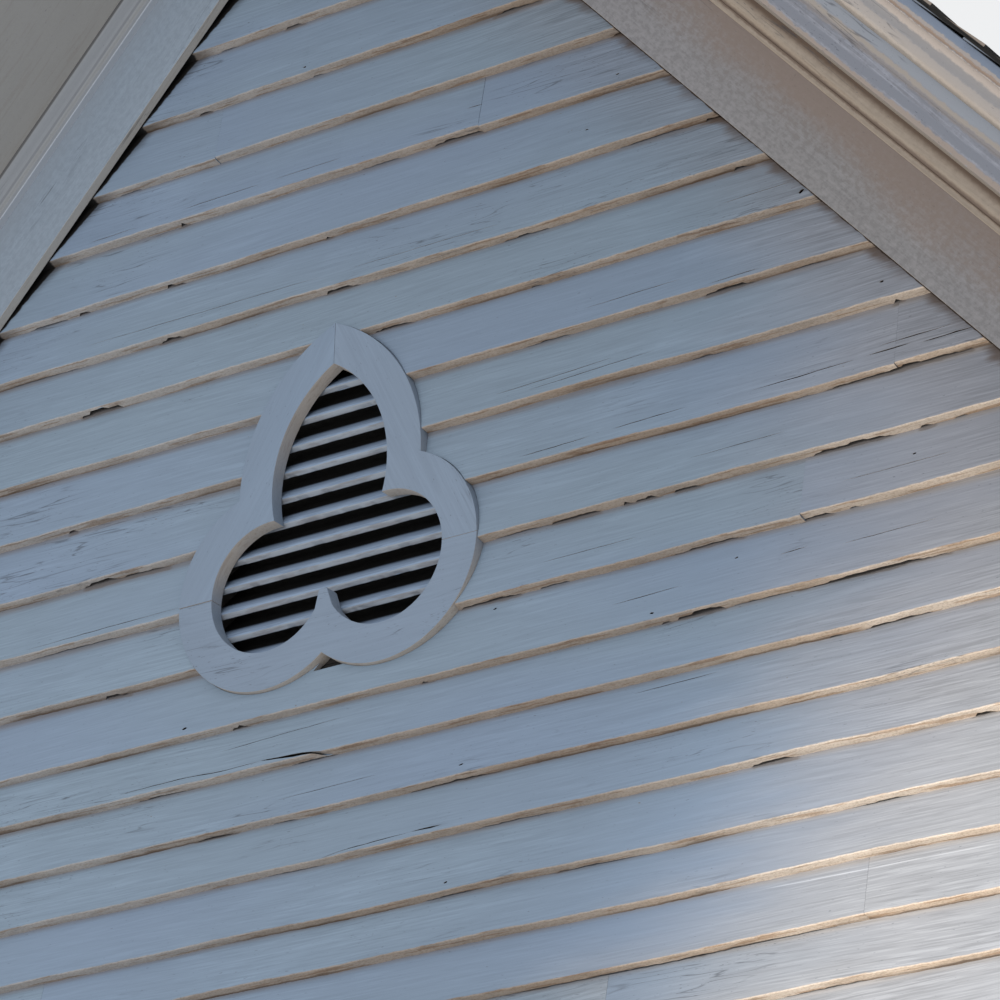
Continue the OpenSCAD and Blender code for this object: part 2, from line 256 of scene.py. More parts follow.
def painted_wood(name, face, tint, under, lean=0.0, worn=0.5, ridged=0.5, turn=(0.25, 0.75), side=1, tones=(),
                 edges=False, stained=1.0, mottled=0.0, wander=0.0, extra=None):
    """Paint on wood whose grain lies along X, or leans down to the right by lean degrees."""
    finish, base, surface = new_finish(name)
    spot = base.node("TexCoord", out=3)
    grain = base.node("Mapping", None, {"Vector": spot, "Rotation": (0, math.radians(-lean), 0)})
    if extra:
        shift = base.node("CombineXYZ", None, {0: base.own("board") * 7.0, 2: base.own("board") * 5.0})
        grain = base.node("VectorMath", {"operation": "ADD"}, {0: grain, 1: shift})
    sway = grain.noise(5.0, (2.5, 1, 1), 0.0)
    bend = base.node("CombineXYZ", None, {2: sway * 0.0225})
    grain = base.node("VectorMath", {"operation": "ADD"}, {0: grain, 1: bend})
    normal = base.node("NewGeometry", out=1)
    # Surfaces facing down take the under colour: painted warm light from the ground below. With edges, the side and
    # down-facing edges take it instead.
    below = normal.place(2).fade(-turn[0], -turn[1])
    if edges:
        below = normal.place(1).fade(-0.8, -0.3) * normal.place(2).fade(0.25, -0.7)

    broad = grain.noise(2.2, (3, 1, 1), 1.0)
    patch = grain.noise(9.0, (4, 1, 1), 2.0)
    stain = grain.noise(45.0, (5, 1, 1), 3.0, 0.65)
    ridge = grain.noise(310.0, (34, 1, 1), 2.0, 0.6)
    ticks = grain.noise(560.0, (6, 1, 1), 1.0, 0.5)
    hair = grain.noise(24.0, (15, 1, 1), 3.0, 0.5)
    weather = (patch * 0.7 + broad * 0.6).fade(0.67 - worn * 0.5, 1.2 - worn * 0.5)
    cluster = grain.noise(6.0, (2.5, 1, 1), 2.0).fade(0.522, 0.673)
    tick = (ticks + cluster * 0.06 + weather * 0.02).fade(0.745, 0.81, 0.55)
    low_gap, high_gap = hair - 0.45, hair - 0.53
    cracks = low_gap.maths("ABSOLUTE", low_gap).fade(0.010, 0.0) + high_gap.maths("ABSOLUTE", high_gap).fade(0.010, 0.0)
    crack = cracks * cluster * (stain * 0.6 + ridge * 0.4).fade(0.435, 0.532, 0.55)
    flake = (grain.noise(130.0, (3, 1, 1), 2.0, 0.65) + weather * 0.05).fade(0.812, 0.828, 0.8)

    colour = broad.fade(0.33, 0.67).mix(rgb(*face), rgb(*tint))
    colour = patch.fade(0.5, 0.77, 0.7).tone(colour, 1.10)
    strength = weather * (0.6 * ridged) + 0.4 * ridged
    across = square_to_rake(spot, side)
    if mottled:
        blot = grain.noise(110.0, (1.5, 1, 1), 2.0, 0.7)
        speck = grain.noise(240.0, (2, 1, 1), 2.0).fade(0.66, 0.72, 0.5 * mottled)
        colour = blot.fade(0.489, 0.59, mottled).tone(colour, 0.88)
        colour = blot.fade(0.478, 0.388, mottled).tone(colour, 1.08)
        across = across + patch * wander + blot * (wander * 0.6) - wander * 0.8
    if extra:
        colour, strength = extra.face(base, spot, patch, colour, strength)
    # Light and dark lines along the ridges: grain, and painted light and shade as a low light across raised grain shows
    # it, stronger where strength is higher.
    colour = (ridge.fade(0.522, 0.609) * strength).tone(colour, 0.80)
    colour = (ridge.fade(0.456, 0.369) * strength).tone(colour, 1.22)
    under_colour = extra.underside(spot) if extra else rgb(*under)
    grit = grain.noise(420.0, (2.2, 1, 1), 2.0, 0.7)
    seam = grain.noise(170.0, (16, 1, 1), 1.0)
    under_colour = stain.fade(0.393, 0.628, 0.7 * stained).tone(under_colour, 0.80)
    under_colour = patch.fade(0.50, 0.651, 0.6 * stained).tone(under_colour, (0.84, 0.74, 0.64))
    under_colour = grit.fade(0.455, 0.634, 0.8 * stained).tone(under_colour, (0.76, 0.72, 0.68))
    under_colour = seam.fade(0.569, 0.65, 0.75 * stained).tone(under_colour, (0.66, 0.54, 0.44))
    colour = below.mix(colour, under_colour)
    # Bands across the section, given per piece: painted shade in hollows, quirks and contact lines, and painted light
    # where an edge or a round turns to the light.
    for rise, fall, other, share in tones:
        mask = across.fade(rise[0] * MM, rise[1] * MM, share)
        if fall:
            mask = mask * across.fade(fall[1] * MM, fall[0] * MM)
        colour = mask.mix(colour, rgb(*other))
    if mottled:
        colour = speck.tone(colour, 0.72)
    colour = tick.mix(colour, rgb(70, 76, 86))
    colour = crack.mix(colour, rgb(56, 60, 68))
    colour = flake.mix(colour, rgb(104, 92, 80))
    if extra:
        colour = extra.age(base, spot, normal, below, colour, stain, patch)
    plug(colour, surface, "Base Color")

    # The height is worked out three times for each place, so only the ridges are in it
    rise = extra.lower_right(spot, -0.2, 0.9, 0.256) + 0.288 if extra else 0.448
    bump = base.node("Bump", None, {"Height": ridge, "Strength": rise, "Distance": 0.0014 * ridged})
    plug(bump, surface, "Normal")
    plug(patch * 0.2 + 0.62, surface, "Roughness")
    surface.inputs["Specular IOR Level"].default_value = 0.35
    return finish


# %% [markdown]
# The clapboards need more than the other boards. Each has a number of its own, so its pattern doesn't go on into the
# next board. Three more numbers are kept in its mesh: how high a place is in its course, how deep it lies behind the
# face, and whether the butt above gapes there. With them the heel of each butt turns brown, the top of the face under
# each butt gets a warm painted shade, the splits and the face seen inside a gaping butt are painted near black as
# painted shade, and the strip under a gaping butt turns browner. Where the boards pass behind the friezes they are
# painted dark, partly painted shade and partly grime, and painted light and shade lie over the wall as a whole.


# %% Clapboard paint
class Clapboards:
    """What the clapboards' paint has besides: painted light to the lower right and left, painted shade high under the
    eaves, under each butt and by the friezes, and marks where boards meet.
    """

    @staticmethod
    def lower_right(spot, low, high, top=1.0):
        return spot.along((1, 0, -0.42)).fade(low, high, top)

    @staticmethod
    def face(base, spot, patch, colour, strength):
        blotch = patch * 0.4 - 0.2
        # Painted shade high up under the eaves, away from the far left, and painted light to the left, where the open
        # sky lights the wall.
        colour = (spot.place(2).fade(0.8, 1.5) * spot.place(0).fade(-0.5, 0.4)).tone(colour, 0.92)
        colour = spot.place(0).fade(0.0, -0.6).tone(colour, 1.06)
        # Painted light: a paler grey to the right.
        east_light = (spot.place(0) + blotch * 0.6).fade(0.68, 1.2)
        colour = east_light.mix(colour, rgb(139, 143, 153))
        # Painted reflected light: greyer within 200 mm of the right frieze.
        frieze_reflection = (square_to_rake(spot, 1) + blotch * 0.2).fade(-0.20, -0.01)
        colour = (frieze_reflection * 0.42).mix(colour, rgb(114, 117, 124))
        # Painted light: paler toward the lower right, where the light on the wall is strongest.
        lower_right_light = (spot.along((0.69, 0, -0.72)) + blotch).fade(0.0, 0.56)
        colour = lower_right_light.mix(colour, rgb(145, 146, 149))
        # Painted shade on the top of the face under each butt: a warm brown grey, lighter toward the lower right.
        shade = Clapboards.lower_right(spot, 0.2, 0.82).mix(rgb(112, 105, 104), rgb(148, 140, 132))
        colour = base.own("height").fade(0.85, 0.98, 0.62).mix(colour, shade)
        line = spot.along((0.015, 0, 1)) - 0.38472
        ends = spot.place(0).fade(0.84, 0.88) * spot.place(0).fade(1.25, 1.18)
        colour = (line.maths("ABSOLUTE", line).fade(0.0013, 0.0005) * ends).tone(colour, 1.5)
        return colour, strength * (0.6 + frieze_reflection * 0.7 + lower_right_light * 0.5 + east_light * 0.4)

    @staticmethod
    def underside(spot):
        """Painted warm light from below: grey brown, warmer to the right, darker high up as painted shade, and cream
        where the light is strong.
        """
        west = spot.place(0).fade(-0.45, 0.4).mix(rgb(176, 172, 169), rgb(177, 163, 150))
        west = spot.place(2).fade(1.6, 2.0).tone(west, 0.93)
        return Clapboards.lower_right(spot, 0.2, 0.82).mix(west, rgb(252, 233, 212))

    @staticmethod
    def age(base, spot, normal, below, colour, stain, patch):
        height, deep = base.own("height"), base.own("deep")
        ragged = stain - 0.5
        heel = (deep + ragged * 0.012).fade(0.0120, 0.0175) * patch.fade(0.52, 0.64, 0.7)
        colour = heel.mix(colour, rgb(80, 62, 48))
        # Browner on the face below where the butt above gapes.
        under_gape = base.own("under_gape") * (height + ragged * 0.16).fade(0.93, 0.95, 0.5) * (1 - below)
        colour = under_gape.mix(colour, rgb(96, 84, 74))
        left, right = square_to_rake(spot, -1), square_to_rake(spot, 1)
        # Painted shade and grime beside the left frieze: dark grey, most toward the top of each board. Undersides near
        # it turn brown.
        left_frieze_shade = (left + ragged * 0.03).fade(-0.026, -0.003, 0.65) * height.fade(0.35, 1.0)
        colour = left_frieze_shade.mix(colour, rgb(48, 44, 44))
        colour = ((left + ragged * 0.02).fade(-0.05, -0.004, 0.7) * below).mix(colour, rgb(74, 62, 52))
        # Darker brown along the right frieze's lower edge, fading down each board.
        right_frieze_brown = (right + ragged * 0.05).fade(-0.024, -0.002, 0.8) * height.fade(0.0, 0.9)
        colour = right_frieze_brown.mix(colour, rgb(82, 65, 52))
        # Painted shade: near black where the boards pass behind the left frieze.
        hidden = (left + ragged * 0.012).fade(-0.005, -0.001)
        colour = hidden.mix(colour, rgb(12, 10, 9))
        # A dark brown line right under the right frieze's edge.
        colour = (right + ragged * 0.006).fade(-0.0035, -0.0015).mix(colour, rgb(52, 40, 32))
        # Painted shade: near black on the face under the lap, seen where a butt gapes, and deep inside the splits.
        colour = height.fade(1.045, 1.08).mix(colour, rgb(26, 22, 19))
        colour = deep.fade(0.03, 0.14).mix(colour, rgb(14, 12, 11))
        return normal.place(1).fade(0.3, 0.6).mix(colour, rgb(40, 34, 28))


FINISHES = {
    "clapboard": painted_wood("clapboard_paint", (117, 134, 156), (119, 136, 153), (226, 200, 170), worn=0.5,
                              ridged=0.75, turn=(0.15, 0.85), extra=Clapboards),
}
print(len(FINISHES), "finish")

# %% [markdown]
# Every piece is modelled by hand from a primitive. A few helpers keep that short: one leaves everything deselected,
# one opens a piece in edit mode, and one selects its points by their place.


# %% Modelling helpers
def deselect_all():
    if bpy.context.object and bpy.context.object.mode != "OBJECT":
        bpy.ops.object.mode_set(mode="OBJECT")
    bpy.ops.object.select_all(action="DESELECT")


def only(piece):
    """Makes one piece active and selected."""
    deselect_all()
    bpy.context.view_layer.objects.active = piece
    piece.select_set(True)


def apply_place(piece, name):
    piece.name = name
    bpy.ops.object.transform_apply(location=True, rotation=True, scale=True)
    return piece


def block(name, low, high):
    """A cuboid between two corners."""
    deselect_all()
    low, high = Vector(low), Vector(high)
    bpy.ops.mesh.primitive_cube_add(size=1, location=(low + high) / 2, scale=high - low)
    return apply_place(bpy.context.object, name)


@contextmanager
def editing(piece):
    only(piece)
    bpy.ops.object.mode_set(mode="EDIT")
    bpy.ops.mesh.select_mode(type="VERT")
    yield
    bpy.ops.object.mode_set(mode="OBJECT")


def select_points(piece, where):
    """Selects the points whose place passes the test. Returns how many."""
    mesh = bmesh.from_edit_mesh(piece.data)
    found = 0
    for point in mesh.verts:
        point.select = where(point.co)
        found += point.select
    mesh.select_flush_mode()
    bmesh.update_edit_mesh(piece.data, loop_triangles=False, destructive=False)
    return found


def select_along(piece, direction, least=0.9):
    """Selects the edges that run in a direction."""
    direction = Vector(direction).normalized()
    mesh = bmesh.from_edit_mesh(piece.data)
    bpy.ops.mesh.select_mode(type="EDGE")
    for edge in mesh.edges:
        run = edge.verts[1].co - edge.verts[0].co
        edge.select = run.length > 0 and abs(run.normalized().dot(direction)) > least
    mesh.select_flush_mode()
    bmesh.update_edit_mesh(piece.data, loop_triangles=False, destructive=False)


def shift(move):
    bpy.ops.transform.translate(value=move)


def cut_off(piece, point, outward):
    """Saws a piece through a plane, drops the outer part and closes the cut."""
    with editing(piece):
        bpy.ops.mesh.select_all(action="SELECT")
        bpy.ops.mesh.bisect(plane_co=point, plane_no=outward, use_fill=True, clear_outer=True, threshold=1e-6)
    return piece


def apply_modifier(piece, kind, **settings):
    only(piece)
    added = piece.modifiers.new(kind.lower(), kind)
    for key, value in settings.items():
        setattr(added, key, value)
    bpy.ops.object.modifier_apply(modifier=added.name)


def cut_with(piece, tool, operation="DIFFERENCE"):
    apply_modifier(piece, "BOOLEAN", object=tool, operation=operation, solver="EXACT")


def drop(*pieces):
    for piece in pieces:
        bpy.data.objects.remove(piece)


def join(name, pieces):
    deselect_all()
    for piece in pieces:
        piece.select_set(True)
    bpy.context.view_layer.objects.active = pieces[0]
    bpy.ops.object.join()
    pieces[0].name = name
    return pieces[0]


def keep_number(piece, name, value):
    """Keeps a number for each point in the piece's mesh: one for all, or worked out from its place."""
    points = piece.data.vertices
    values = [value(p.co) for p in points] if callable(value) else [value] * len(points)
    piece.data.attributes.new(name, "FLOAT", "POINT").data.foreach_set("value", values)


def triangles(piece):
    return sum(len(face.vertices) - 2 for face in piece.data.polygons)


def finish_piece(piece, finish, slot, *nodes):
    """Paints a finished piece and puts it in the frame in place of the nodes it stands for. Its slot is not used."""
    piece.data.materials.clear()
    piece.data.materials.append(finish)
    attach(piece, "root")
    if nodes:
        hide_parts(*nodes)
    print(piece.name, triangles(piece), "triangles")
    return piece


# %% [markdown]
# A clapboard is a long wedge, thick at its lower edge, and each course laps the one below. The wall could be one
# stepped sheet, but old boards each have their own bow, height and end joints, so each is its own wedge.
# A board starts as a cuboid: its upper edge is thinned, its lower back corner is dropped square to the sloping face,
# its paint edge is rounded, and then it is divided along its length. Where a butt gapes, its heel comes forward.
# Two Displace modifiers with a cloud texture let the whole board wander a little, and a third nicks its lower edge.

# %% Clapboard courses
COURSES = [0, 98, 200, 292, 390, 476, 579, 669, 764, 854, 968, 1076, 1185, 1301, 1410, 1521, 1622, 1730, 1844, 1949,
           2063, 2181, 2289, 2397, 2505, 2613, 2721]
TOP_COURSE = 2829
OUT, BUTT, LAP = 25.0, 19.5, 18.0
# Where boards meet end to end, in mm from the middle, by course
JOINTS = {0: (-1480, 640, 1900), 1: (-700, 1720), 2: (-1900, 560, 1980), 3: (-1260, 1020), 4: (-560, 1580),
          5: (-1650, 1390), 6: (-960, 1830), 7: (-1440, 1330), 8: (-820, 1690), 9: (-1270, 1480), 10: (912,),
          11: (-900,), 12: (-1180, 1082), 15: (-870,), 17: (-905,), 18: (281,), 19: (-283,)}
# How much higher than its course each board's two ends lie, in mm, where the photograph shows it
SET = {3: [(-1, 1), (1, 0), (0, -1)], 4: [(0, 1), (1, 0), (-1, 2)], 9: [(2, 1), (-2, -1), (3, 4)],
       10: [(4, -2), (1, 4)], 11: [(-1, -3), (4, -2), (1, 2)], 12: [(3, 3), (4, -2), (0, 1)],
       13: [(0, 2), (1, -2), (-1, 1)], 14: [(3, 0), (3, -1)], 15: [(2, 1), (2, -3)], 17: [(-3, -2), (-2, 1)],
       18: [(1, 2), (0, -6)], 19: [(-2, -1), (1, 2)], 20: [(-3, 4)], 21: [(-2, 1)]}
# Places where a butt gapes: from and to in mm from the middle, and how far its heel has come forward
GAPES = {
    2: [(860, 1040, 3)],
    3: [(330, 1015, 4), (415, 440, 7), (712, 728, 8)],
    5: [(200, 330, 4), (440, 640, 4), (468, 486, 8), (990, 1110, 4)],
    6: [(-100, 10, 3), (820, 890, 7), (1205, 1240, 9), (300, 460, 3)],
    7: [(-250, -170, 5), (-100, -30, 3), (170, 360, 5)],
    8: [(-380, -270, 4), (-60, 30, 4), (955, 975, 6), (1015, 1130, 6)],
    9: [(-190, -160, 8), (195, 210, 6), (650, 668, 5), (680, 768, 12), (780, 900, 3), (905, 1160, 8)],
    10: [(-460, -420, 9), (270, 380, 6), (420, 470, 4), (675, 800, 5), (912, 960, 5), (990, 1010, 3)],
    11: [(-640, -440, 3), (330, 430, 3), (440, 530, 7), (575, 590, 9), (600, 640, 7), (675, 720, 7), (925, 1070, 8),
         (1120, 1140, 6), (1180, 1200, 4)],
    12: [(-525, -450, 9), (-450, -350, 5), (950, 1210, 7), (880, 940, 3)],
    13: [(-570, -555, 6), (1076, 1088, 8), (700, 760, 3)],
    14: [(730, 820, 7), (380, 480, 3), (880, 960, 3)],
    15: [(-556, -468, 12), (70, 150, 5), (390, 410, 4)],
    16: [(-740, -560, 3), (-388, -345, 10), (-30, 30, 8), (330, 420, 4), (780, 812, 8)],
    17: [(-700, -610, 4), (-578, -560, 9), (-385, -350, 9), (-40, -30, 8), (560, 690, 4), (725, 760, 7)],
    18: [(-360, -345, 8), (180, 280, 6), (30, 110, 3)],
    19: [(-520, -440, 3), (540, 560, 5)],
    20: [(-335, -310, 5), (300, 390, 5), (-90, -60, 3)],
    21: [(-150, -115, 5), (-300, -250, 3)],
}
dice = random.Random(48)


def clouds(name, size):
    texture = bpy.data.textures.new(name, "CLOUDS")
    texture.noise_scale, texture.noise_depth = size, 1
    return texture


BOW, CUP, NICKS = clouds("bow", 0.30), clouds("cup", 0.22), clouds("nicks", 0.014)


def face_out(course, z):
    """How far in front of the sheathing a course's face is at height z, and how thick the board is there, in mm."""
    low = COURSES[course]
    shown = (COURSES + [TOP_COURSE])[course + 1] - low
    tilt = math.asin(BUTT / shown)
    out = OUT - BUTT * math.cos(tilt) / shown * (z - low)
    heel_out, heel_low = OUT - BUTT * math.cos(tilt), low - BUTT * math.sin(tilt)
    return out, out - heel_out + (heel_out - 0.3) * (z - heel_low) / (low + shown + LAP - heel_low)


def gape(board, course, start, stop, depth, heel):
    """Brings a stretch of the heel forward in ragged steps, most at its middle, longer where the stretch is long."""
    place, long = start, stop - start > 30
    while place < stop:
        step = dice.uniform(12, 30) if long else dice.uniform(6, 14)
        share = math.sin(math.pi * min(0.97, max(0.03, (place + step / 2 - start) / (stop - start))))
        come = 1.4 * depth * share ** 0.6 * dice.uniform(0.6, 1.1)
        if select_points(board, lambda p: (place * MM <= p.x < min(place + step, stop) * MM
                                           and abs(p.y - heel) < 1e-5 and p.z < (COURSES[course] + 4) * MM)):
            shift((0, -come * MM, come * 0.12 * MM))
        place += step


def clapboard(course, left, right, ends):
    """One board of a course between two places in mm."""
    low, high = COURSES[course], (COURSES + [TOP_COURSE])[course + 1]
    shown = high - low
    tilt = math.asin(BUTT / shown)
    top = low + shown + LAP
    corners = {  # distance from the sheathing and height, in mm, of each corner of the wedge
        (0, 0): (OUT, low), (1, 0): (OUT - BUTT * math.cos(tilt), low - BUTT * math.sin(tilt)),
        (0, 1): (face_out(course, top)[0], top), (1, 1): (0.3, top)}
    board = block("clapboard", (left * MM, WALL - OUT * MM, low * MM), (right * MM, WALL, top * MM))
    heel = WALL - corners[1, 0][0] * MM
    with editing(board):
        for (back, up), (proud, z) in corners.items():
            select_points(board, lambda p: (abs(p.y - (WALL - (0 if back else OUT) * MM)) < 1e-5
                                            and abs(p.z - (top if up else low) * MM) < 1e-5))
            shift((0, WALL - proud * MM - (WALL if back else WALL - OUT * MM), (z - (top if up else low)) * MM))
        for end, lift in ((left, ends[0]), (right, ends[1])):
            select_points(board, lambda p: abs(p.x - end * MM) < 1e-5)
            shift((0, 0, lift * MM))
        select_points(board, lambda p: abs(p.y - (WALL - OUT * MM)) < 1e-5)
        bpy.ops.mesh.bevel(offset=3.4 * MM, segments=4, affect="EDGES")
        for cuts in (max(1, round((right - left) / 160)), 19):
            select_along(board, (1, 0, 0))
            bpy.ops.mesh.subdivide(number_cuts=cuts)
        bpy.ops.mesh.select_mode(type="VERT")
        for start, stop, depth in GAPES.get(course, []):
            if left < stop and start < right:
                gape(board, course, start, stop, depth, heel)
        select_points(board, lambda p: p.z < (low + 20) * MM)
        bpy.ops.object.vertex_group_assign_new()
    apply_modifier(board, "DISPLACE", texture=NICKS, texture_coords="LOCAL", direction="Z", strength=0.0022,
                   vertex_group="Group")
    apply_modifier(board, "DISPLACE", texture=BOW, texture_coords="LOCAL", direction="Z", strength=0.007)
    apply_modifier(board, "DISPLACE", texture=CUP, texture_coords="LOCAL", direction="Y", strength=0.0035)
    return board


boards = {}
for course, low in enumerate(COURSES):
    width = half_width(178, low)
    stops = [-width] + [j for j in JOINTS.get(course, ()) if abs(j) < width - 60] + [width]
    ends = SET.get(course, [])
    boards[course] = []
    for k, (left, right) in enumerate(zip(stops, stops[1:])):
        lift = ends[k] if k < len(ends) else (dice.uniform(-2, 2), dice.uniform(-2, 2))
        boards[course].append(clapboard(course, left + 0.2, right - 0.2, lift))
print(sum(map(len, boards.values())), "clapboards in", len(boards), "courses")

# %% [markdown]
# The vent's outline is made of arcs: two round lobes below and a pointed arch above, which cross at a waist.
# A joiner swings each arc from its own centre, and the spin tool does the same to a point. Where two arcs cross
# is worked out once, so that each board's outline closes.

# %% Outlines drawn with lines and arcs
VENT_Z, LOBE_R, LOBE_X, ARCH_R, ARCH_X, ARCH_Z, CASING_W, CASING_T = 1086, 118, 117, 239, 121, 1263, 69, 27


def drawn_outline(name, start, moves):
    """A flat closed face drawn from a point, by lines to a place or arcs (centre, place to stop, which way)."""
    deselect_all()
    bpy.ops.mesh.primitive_plane_add(size=1, location=start)
    piece = apply_place(bpy.context.object, name)
    bpy.ops.object.mode_set(mode="EDIT")
    bpy.ops.mesh.select_mode(type="VERT")
    bpy.ops.mesh.select_all(action="SELECT")
    bpy.ops.mesh.merge(type="CENTER")
    here = Vector(start)
    for move in moves:
        if len(move) == 3 and isinstance(move[0], Vector):
            centre, stop, way = move
            first, last = (math.atan2(p.z - centre.z, p.x - centre.x) for p in (here, stop))
            angle = ((last - first) * way) % (2 * math.pi)
            bpy.ops.mesh.spin(steps=max(3, round(math.degrees(angle) / 3)), angle=angle, center=centre,
                              axis=(0, way, 0))
            here = stop
        else:
            bpy.ops.mesh.extrude_verts_indiv()
            shift(Vector(move) - here)
            here = Vector(move)
    bpy.ops.mesh.select_all(action="SELECT")
    bpy.ops.mesh.remove_doubles(threshold=1e-6)
    bpy.ops.mesh.edge_face_add()
    bpy.ops.object.mode_set(mode="OBJECT")
    return piece


def thicken(piece, run):
    """Pushes a flat face out into a solid along a vector."""
    with editing(piece):
        bpy.ops.mesh.select_all(action="SELECT")
        bpy.ops.mesh.extrude_region()
        shift(run)
        bpy.ops.mesh.select_all(action="SELECT")
        bpy.ops.mesh.normals_make_consistent(inside=False)
    return piece


def on_wall(x, z, proud):
    return Vector((x * MM, WALL - proud * MM, z * MM))


def crossing(x, z, radius, other_x, other_z, other_radius):
    """Where two circles cross, at the crossing on the left of the way from the first centre to the other."""
    away = Vector((other_x - x, other_z - z))
    along = (radius ** 2 - other_radius ** 2 + away.length_squared) / (2 * away.length)
    up = math.sqrt(radius ** 2 - along ** 2)
    unit = away.normalized()
    return x + along * unit.x - up * unit.y, z + along * unit.y + up * unit.x


def limb_outline(name, side, inner, outer, proud, low, gap=0.15):
    """One side of the vent above its joint: between two margins from the opening."""
    def at(x, z):
        return on_wall(side * x, z, proud)
    arch, lobe = at(ARCH_X, ARCH_Z), at(-LOBE_X, VENT_Z)
    tops = [ARCH_Z + math.sqrt((ARCH_R + m) ** 2 - (ARCH_X + gap) ** 2) for m in (inner, outer)]
    waists = [crossing(-LOBE_X, VENT_Z, LOBE_R + m, ARCH_X, ARCH_Z, ARCH_R + m) for m in (inner, outer)]
    joints = [-LOBE_X - math.sqrt((LOBE_R + m) ** 2 - (low - VENT_Z) ** 2) for m in (inner, outer)]
    return drawn_outline(name, at(-gap, tops[0]), [
        (arch, at(*waists[0]), side), (lobe, at(joints[0], low), side), at(joints[1], low),
        (lobe, at(*waists[1]), -side), (arch, at(-gap, tops[1]), -side)])


def vent_outline(margin, proud):
    """The whole vent's outline at a margin from the opening, as one face."""
    top = ARCH_Z + math.sqrt((ARCH_R + margin) ** 2 - ARCH_X ** 2)
    notch = VENT_Z - math.sqrt((LOBE_R + margin) ** 2 - LOBE_X ** 2)
    x, z = crossing(-LOBE_X, VENT_Z, LOBE_R + margin, ARCH_X, ARCH_Z, ARCH_R + margin)

    def at(px, pz):
        return on_wall(px, pz, proud)
    return drawn_outline("outline", at(0, top), [
        (at(ARCH_X, ARCH_Z), at(x, z), 1), (at(-LOBE_X, VENT_Z), at(0, notch), 1),
        (at(LOBE_X, VENT_Z), at(-x, z), 1), (at(-ARCH_X, ARCH_Z), at(0, top), 1)])


print("waist of the opening", [round(v) for v in crossing(-LOBE_X, VENT_Z, LOBE_R, ARCH_X, ARCH_Z, ARCH_R)])

# %% Clapboards cut round the casing
def reaches(board, left, right):
    along = [v.co.x for v in board.data.vertices]
    return min(along) < right * MM and max(along) > left * MM


opening = thicken(vent_outline(CASING_W + 0.8, 60), (0, 0.07, 0))
notch_gap = thicken(drawn_outline("notch", on_wall(0, 946, 60), [on_wall(-24, 916, 60), on_wall(36, 916, 60)]),
                    (0, 0.07, 0))
for course in range(9, 16):
    for board in boards[course]:
        if reaches(board, -310, 310):
            cut_with(board, opening)
            if course == 9:
                cut_with(board, notch_gap)
drop(opening, notch_gap)

# %% [markdown]
# Old boards split along the grain, and knots and nail holes open. Each split is a thin wavy lens along a few places,
# pushed into the face to two thirds of the board's thickness and taken out with the Boolean modifier. A dark line in
# the paint would be cheaper, but a real groove is dark from every side.

# %% Splits and holes in the clapboards
# By course: how wide at the most in mm, and the places that it runs through
SPLITS = {
    5: [(4, [(256, 490), (264, 491)])],
    6: [(1.7, [(10, 577), (48, 583), (87, 585), (128, 587), (190, 589)]), (3.4, [(188, 589), (250, 590)])],
    7: [(5, [(278, 685), (288, 686)]), (1.2, [(600, 742), (760, 745)]), (1.1, [(-90, 700), (120, 704)])],
    8: [(1.7, [(-413, 775), (-381, 776), (-281, 777), (-191, 773), (-113, 775)]),
        (5.5, [(-120, 775), (-68, 771), (-22, 768), (11, 763), (36, 756)]),
        (1.3, [(-210, 812), (-80, 818), (40, 821)])],
    9: [(7, [(-287, 866), (-276, 867)]), (4, [(636, 865), (645, 865)]), (1.4, [(560, 899), (690, 903)]),
        (1.4, [(870, 914), (920, 916)]), (4, [(328, 948), (336, 949)]), (4, [(786, 928), (794, 929)]),
        (1.2, [(980, 905), (1150, 909)])],
    10: [(4, [(1106, 1027), (1114, 1027)]), (1.2, [(420, 1003), (610, 1006)]), (1.2, [(980, 1010), (1180, 1013)])],
    11: [(1.4, [(-640, 1088), (-460, 1091), (-300, 1092)]), (1.2, [(700, 1120), (880, 1122)])],
    12: [(1.5, [(380, 1201), (520, 1204)]), (1.4, [(560, 1206), (700, 1210)]), (1.9, [(820, 1207), (1010, 1212)]),
         (2.4, [(1030, 1213), (1110, 1214)]), (2.6, [(1130, 1210), (1225, 1213)]), (1.7, [(1050, 1225), (1190, 1229)])],
    13: [(4.5, [(1053, 1335), (1063, 1335)]), (1.4, [(330, 1328), (470, 1332), (560, 1336)]),
         (1.2, [(390, 1318), (640, 1326)])],
    14: [(1.6, [(742, 1417), (838, 1420)]), (1.2, [(500, 1440), (690, 1443)])],
    15: [(8, [(909, 1534), (920, 1538)]), (1.2, [(760, 1560), (900, 1562)])],
    16: [(1.3, [(-560, 1652), (-330, 1650), (-40, 1648)]), (1.1, [(20, 1647), (330, 1645)])],
    17: [(4, [(494, 1775), (502, 1775)])],
    18: [(1.5, [(-350, 1867), (-180, 1869)]), (1.3, [(-150, 1869), (-10, 1870)]), (1.5, [(-560, 1858), (-450, 1859)]),
         (1.7, [(250, 1890), (285, 1890)]), (4, [(556, 1860), (564, 1860)])],
    20: [(4, [(-99, 2075), (-91, 2075)])],
}


